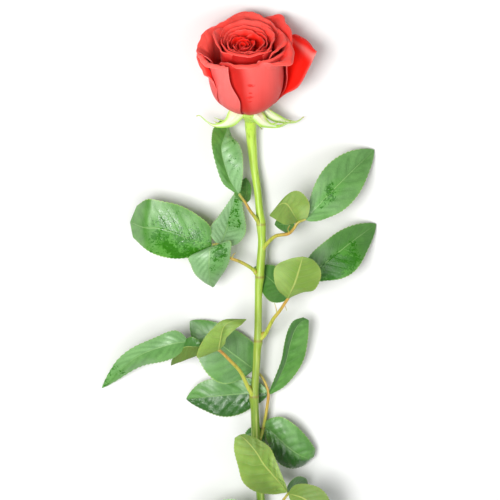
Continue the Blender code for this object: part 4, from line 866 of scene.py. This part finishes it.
def addPetal(pile, petal, order, move=0.0):
    petal = {**plainPetal, **petal}
    grid, along, across, degrees = petalGrid(petal, order)
    thick = petal["thick"] * (1 - 0.5 * smooth(along, 0.85, 1.0)) * (1 - 0.4 * np.abs(across) ** 8)
    skins = (1, 0, 0) if petal["rim"][0][0] < petal["rim"][-1][0] else (0, 1, 0)  # which face looks at the axis
    marks = petalMarks(along, across, order)
    # the petal's painted light (painted shade below zero), less a painted shadow beside the front left petal's edge;
    # then a wash of painted light over the whole petal
    marks["glow"] = petal["glow"] - petal["paintedShadow"] * smooth(degrees, 82.0, 108.0) * (1 - smooth(along, 0.66, 0.86))
    marks["blush"] = marks["blush"] + petal["paintedLightWash"]
    pile.add(grid + move, thick, skins, **marks)


def addFarPetal(pile, rows=56, columns=40):
    t, u = np.linspace(0, 1, rows + 1), np.linspace(0, 1, columns + 1)
    along, across = np.meshgrid(t, 2 * u - 1, indexing="ij")
    grid = pathPoints(np.stack([pathPoints(row, u) for row in farPetal]), t)
    grid = grid + bloomFront * (0.35 * np.sin(across * 7 + along * 5) * smooth(along, 0.3, 0.7))[..., None]
    marks = petalMarks(along, across, 31)
    # a painted highlight along the fold, partly standing for the lighter back of the rolled margin, and along the right
    # edge; painted shade over the whole petal, deepest on the lobes above the fold
    fold = np.exp(-((along - 0.62) / 0.04) ** 2) * (0.5 + 0.5 * smooth(across, -0.9, 0.2))
    marks["blush"] = 0.65 * fold + 0.25 * smooth(across, 0.8, 1.0)
    marks["glow"] = -1.2 - 2.6 * smooth(along, 0.66, 0.7) * (1 - smooth(across, 0.6, 1.0))
    pile.add(grid, plainPetal["thick"], (1, 0, 0), **marks)


def addHeart(pile, look):  # the tight whorl in the middle
    draw = np.random.default_rng(11)
    right, front = look["shift"]
    for k in range(look["petals"]):
        f = k / (look["petals"] - 1)
        radius = look["firstRadius"] + (look["lastRadius"] - look["firstRadius"]) * f ** 0.92
        middle, half, extra = 95 + look["turn"] * k, 62 + 45 * f, draw.uniform(-0.3, 0.3)
        rim = []
        for step, wider, drop, roll in look["rim"]:
            degrees = middle + half * step
            rise = look["rise"] - look["tilt"] * math.sin(math.radians(degrees))
            high = look["low"] + radius / look["firstRadius"] * rise + extra
            rim.append((degrees, radius + wider, high - drop, roll * (1 - 0.6 * f)))
        petal = {**look["petal"], "body": radius, "rim": rim, "ruffle": 0.7 - 0.3 * f,
                 "foot": [(radius - 0.5, 34.0), (radius - 0.1, 42.0)]}
        addPetal(pile, petal, k, bloomRight * right + bloomFront * front)


def lathe(name, profile, sides, skin):  # a solid turned on the bloom's axis
    t = np.linspace(0, 1, 8 * len(profile))
    radius, height = pathPoints(profile, t).T[:, :, None]
    around = np.linspace(0, 360, sides, endpoint=False)
    grid = inBloom(around + 0 * height, np.maximum(radius, 0.02) + 0 * around, height + 0 * around)
    idx = np.arange(len(t) * sides).reshape(-1, sides)
    nxt = np.roll(idx, -1, axis=1)
    quads = np.stack([idx[:-1], nxt[:-1], nxt[1:], idx[1:]], -1).reshape(-1, 4)[:, ::-1]
    made = bpy.data.meshes.new(name)
    faces = [tuple(q) for q in quads] + [tuple(idx[0]), tuple(idx[-1][::-1])]
    made.from_pydata(grid.reshape(-1, 3) * mm, [], faces)
    made.materials.append(skin)
    storeMark(made, "along", np.repeat(t, sides))
    made.shade_smooth()
    return made


def makeBloom():
    outer, ring, heart = SheetPile(), SheetPile(), SheetPile()
    for order, petal in enumerate(outerPetals.values()):
        addPetal(outer, petal, order)
    addFarPetal(outer)
    for order, petal in enumerate(ringPetals.values(), 20):  # the order shifts a petal's waves and lines
        body = petal["body"]
        if body > 13.5:  # the wider ones are rooted deeper
            foot = {"foot": [(body - 1.5, 26.0), (body - 0.3, 37.0), (body, 45.0)]}
        else:
            foot = {"foot": [(body - 0.5, 34.0), (body - 0.1, 42.0)], "thick": 0.35}
        addPetal(ring, {**ringLook, **foot, **petal}, order)
    addHeart(heart, heartLook)
    place(outer.mesh("outerPetals", [petalOuter, petalInner]), "bloom")
    place(ring.mesh("ringPetals", [petalHeartShaded, petalInner]), "bloom")
    place(heart.mesh("heartPetals", [petalHeartShaded, petalInner]), "bloom")
    place(lathe("bloomCore", bloomLook["core"], bloomLook["coreSides"], petalInner), "bloom")


makeBloom()
print("bloom made")


# calyx: its sepals are nets or ribs as the leaflets are

calyxLook = {
    "profile": [(0, -3.5), (3.4, -3.5), (4.2, -2.2), (5.4, 0.2), (5.9, 2.2), (5.2, 3.4), (0, 3.4)],
    "sides": 40, "rows": 60, "columns": 14, "hairSides": 8, "hairSteps": 24,
    "sepals": [{"net": [(4.3, 143.7, 15.6, -0.2, 145.5, 17, -5.5, 146.6, 16.8),
          (1.6, 140.9, 16.8, -2.2, 143, 18.8, -6.4, 144.6, 17.6),
          (-2.4, 137.3, 16.8, -5.2, 140, 18.6, -7.7, 141.7, 17.6),
          (-7.1, 136.1, 16, -9.1, 137.7, 17.2, -10.5, 139.3, 16.8),
          (-14.2, 136.2, 15, -14.9, 137.3, 15.5, -15.5, 138.2, 15.2),
          (-19.6, 139.5, 13.6, -19.9, 140.2, 13.8, -20.2, 140.8, 13.6),
          (-22.8, 142.2, 12.4, -22.9, 142.5, 12.5, -23, 142.8, 12.4),
          (-25.1, 142, 11.6, -25.1, 142.2, 11.6, -25.1, 142.4, 11.6)]},
        {"net": [(14, 146, 16.4, 9.9, 144.7, 17.6, 5.4, 143.5, 16),
          (15.7, 143.8, 18, 12.2, 142.9, 19.8, 8.6, 140.9, 17), (17.3, 141, 18.8, 15.1, 140, 20.4, 12.5, 137.2, 17.6),
          (20.3, 138.6, 18, 19.3, 137.8, 19, 18.2, 136, 17.4),
          (24.7, 137.8, 16.8, 24.4, 137.2, 17.2, 24.1, 136.2, 16.7),
          (29, 138.8, 15, 29.1, 138.5, 15.2, 29.1, 138, 15), (31.2, 139.9, 14, 31.3, 139.7, 14, 31.4, 139.5, 14)]},
        {"net": [(17.9, 147, 13.2, 16.2, 146, 14.4, 14.6, 144.4, 13.8),
          (20.9, 144.9, 13, 19.1, 143.4, 14.2, 17.2, 141.2, 13.4),
          (25.3, 142.2, 12, 23.9, 140.7, 13, 22.4, 138.6, 12.2), (29.6, 139.8, 10.4, 28.7, 139, 11, 28, 137.7, 10.6),
          (34.7, 138.9, 8.8, 34.7, 138.5, 9, 34.6, 137.9, 8.8), (39, 141.1, 6.7, 39.1, 141, 6.7, 39.1, 140.8, 6.7)]},
        {"rib": [(8.1, 145.4, 8.6), (9.4, 145.2, 5.4), (10.4, 141.5, 3.2), (11.6, 136.8, 2.2), (14.1, 132.4, 1.2)],
         "left": (2, 3.4, 2.6), "right": (2.6, 3.4, 2.6), "lift": 0.6, "root": 0.5},
        {"rib": [(3.6, 144.6, 9.8), (1.6, 144.4, 6.4), (-0.6, 141.2, 4), (-3, 137, 2.6), (-6.2, 132.8, 1.4)],
         "left": (2.6, 3.4, 2.6), "right": (2, 3.4, 2.6), "lift": 0.6, "root": 0.5}],
    "hairs": [[(-6.6, 139.2, 16.6), (-10.9, 140.6, 16), (-14.5, 141.9, 15)],
        [(-9.7, 138.4, 16.2), (-12.7, 138.7, 15.2), (-14.8, 139.8, 14.2)],
        [(17.5, 138.3, 18.8), (22.3, 139.1, 18.6), (25.2, 140.2, 17.8)],
        [(22.3, 136.9, 17.8), (26.5, 138.2, 17.2), (28.8, 141, 16.2)]],
}


def makeCalyx(look):
    mesh = lathe("receptacle", look["profile"], look["sides"], calyxSkin)
    addJoints(mesh, ())
    place(mesh, "calyx")
    pile = SheetPile()
    t, v = np.linspace(0, 1, look["rows"] + 1), np.linspace(-1, 1, look["columns"] + 1)
    along, across = np.meshgrid(t, v, indexing="ij")
    away = np.abs(across)
    shape = np.minimum(1.0, 0.75 + 1.2 * t) * (1 - t) ** 1.1 * 1.15  # a sepal's outline
    for sepal in look["sepals"]:
        center, reach, _ = bladeLines(sepal, t, across, shape, 0.5 * (1 - t) + 0.12 * t)
        lift = sepal.get("lift", 0.0) * np.minimum(shape, 1.0)[:, None] * away ** 1.4
        lift = lift + 0.25 * np.sin(along * 20 + across * 2) * away ** 2
        grid = center + reach * away[..., None] + up * lift[..., None]
        thick = 0.3 + 0.5 * np.exp(-(away / 0.25) ** 2) * (1 - along) + sepal.get("root", 0.0) * (1 - along) ** 4
        pile.add(grid, thick, (0, 1, 0), along=along, across=across)
    place(pile.mesh("sepals", [sepalPale, sepalGreen]), "calyx")
    k = np.linspace(0, 1, look["hairSteps"])
    bars = [np.column_stack([pathPoints(points, k), 0.5 * (1 - k) ** 0.8 + 0.08]) for points in look["hairs"]]
    place(sweep("sepalHairs", bars, look["hairSides"], calyxSkin), "calyx")


makeCalyx(calyxLook)
print("calyx made")


# floor, light and camera, in metres

studioLook = {
    "floorSize": 8.0, "floorDrop": 0.0001, "floorColor": (0.80, 0.80, 0.79),
    "skyColor": (0.95, 0.97, 1.0), "skyStrength": 0.17,
    "lightAim": (0.0, 0.06, 0.0),
    "lights": {"keyLight": ((-0.55, 0.2, 1.5), 0.7, 24.5), "topLight": ((-0.1, -0.4, 1.9), 1.4, 11.0),
               "fillLight": ((0.95, -0.2, 1.3), 0.8, 6.0)},  # place, size, power
    "cameraTilt": 12.0, "cameraAim": (0.0069, 0.0615, 0.015), "cameraDistance": 1.5, "seenWidth": 0.3, "sensor": 36.0,
    "cameraNear": 0.05,
}


def makeFloor(look):
    half, z = look["floorSize"] / 2, -look["floorDrop"]
    mesh = bpy.data.meshes.new("tableTop")
    mesh.from_pydata([(-half, -half, z), (half, -half, z), (half, half, z), (-half, half, z)], [], [(0, 1, 2, 3)])
    skin, _, _ = newSkin("tablePaper", {"Base Color": look["floorColor"], "Roughness": 0.9, "Specular IOR Level": 0.2})
    mesh.materials.append(skin)
    floor = show(bpy.data.objects.new("tableTop", mesh))


def makeLights(look):
    for name, (spot, size, power) in look["lights"].items():
        lamp = bpy.data.lights.new(name, "AREA")
        lamp.shape, lamp.size, lamp.energy = "SQUARE", size, power
        obj = show(bpy.data.objects.new(name, lamp))
        obj.location = spot
        away = np.array(spot) - np.array(look["lightAim"])
        turn = math.atan2(away[1], away[0]) + math.pi / 2
        obj.rotation_euler = (math.acos(away[2] / np.linalg.norm(away)), 0.0, turn)
    world = bpy.data.worlds.new("studio")
    world.use_nodes = True
    feed(world.node_tree.nodes["Background"].inputs, {0: look["skyColor"], 1: look["skyStrength"]})
    bpy.context.scene.world = world


def makeCamera(look):
    camera = show(bpy.data.objects.new("camera", bpy.data.cameras.new("camera")))
    x, y, z = look["cameraAim"]
    tilt, distance = math.radians(look["cameraTilt"]), look["cameraDistance"]
    camera.location = (x, y + distance * math.sin(tilt), z + distance * math.cos(tilt))
    camera.rotation_euler = (-tilt, 0.0, 0.0)
    camera.data.sensor_width = look["sensor"]
    camera.data.lens = look["sensor"] * distance / look["seenWidth"]
    camera.data.clip_start = look["cameraNear"]
    bpy.context.scene.camera = camera


makeFloor(studioLook)
makeLights(studioLook)
makeCamera(studioLook)
bpy.context.scene.view_settings.view_transform = "Standard"
print("scene set")
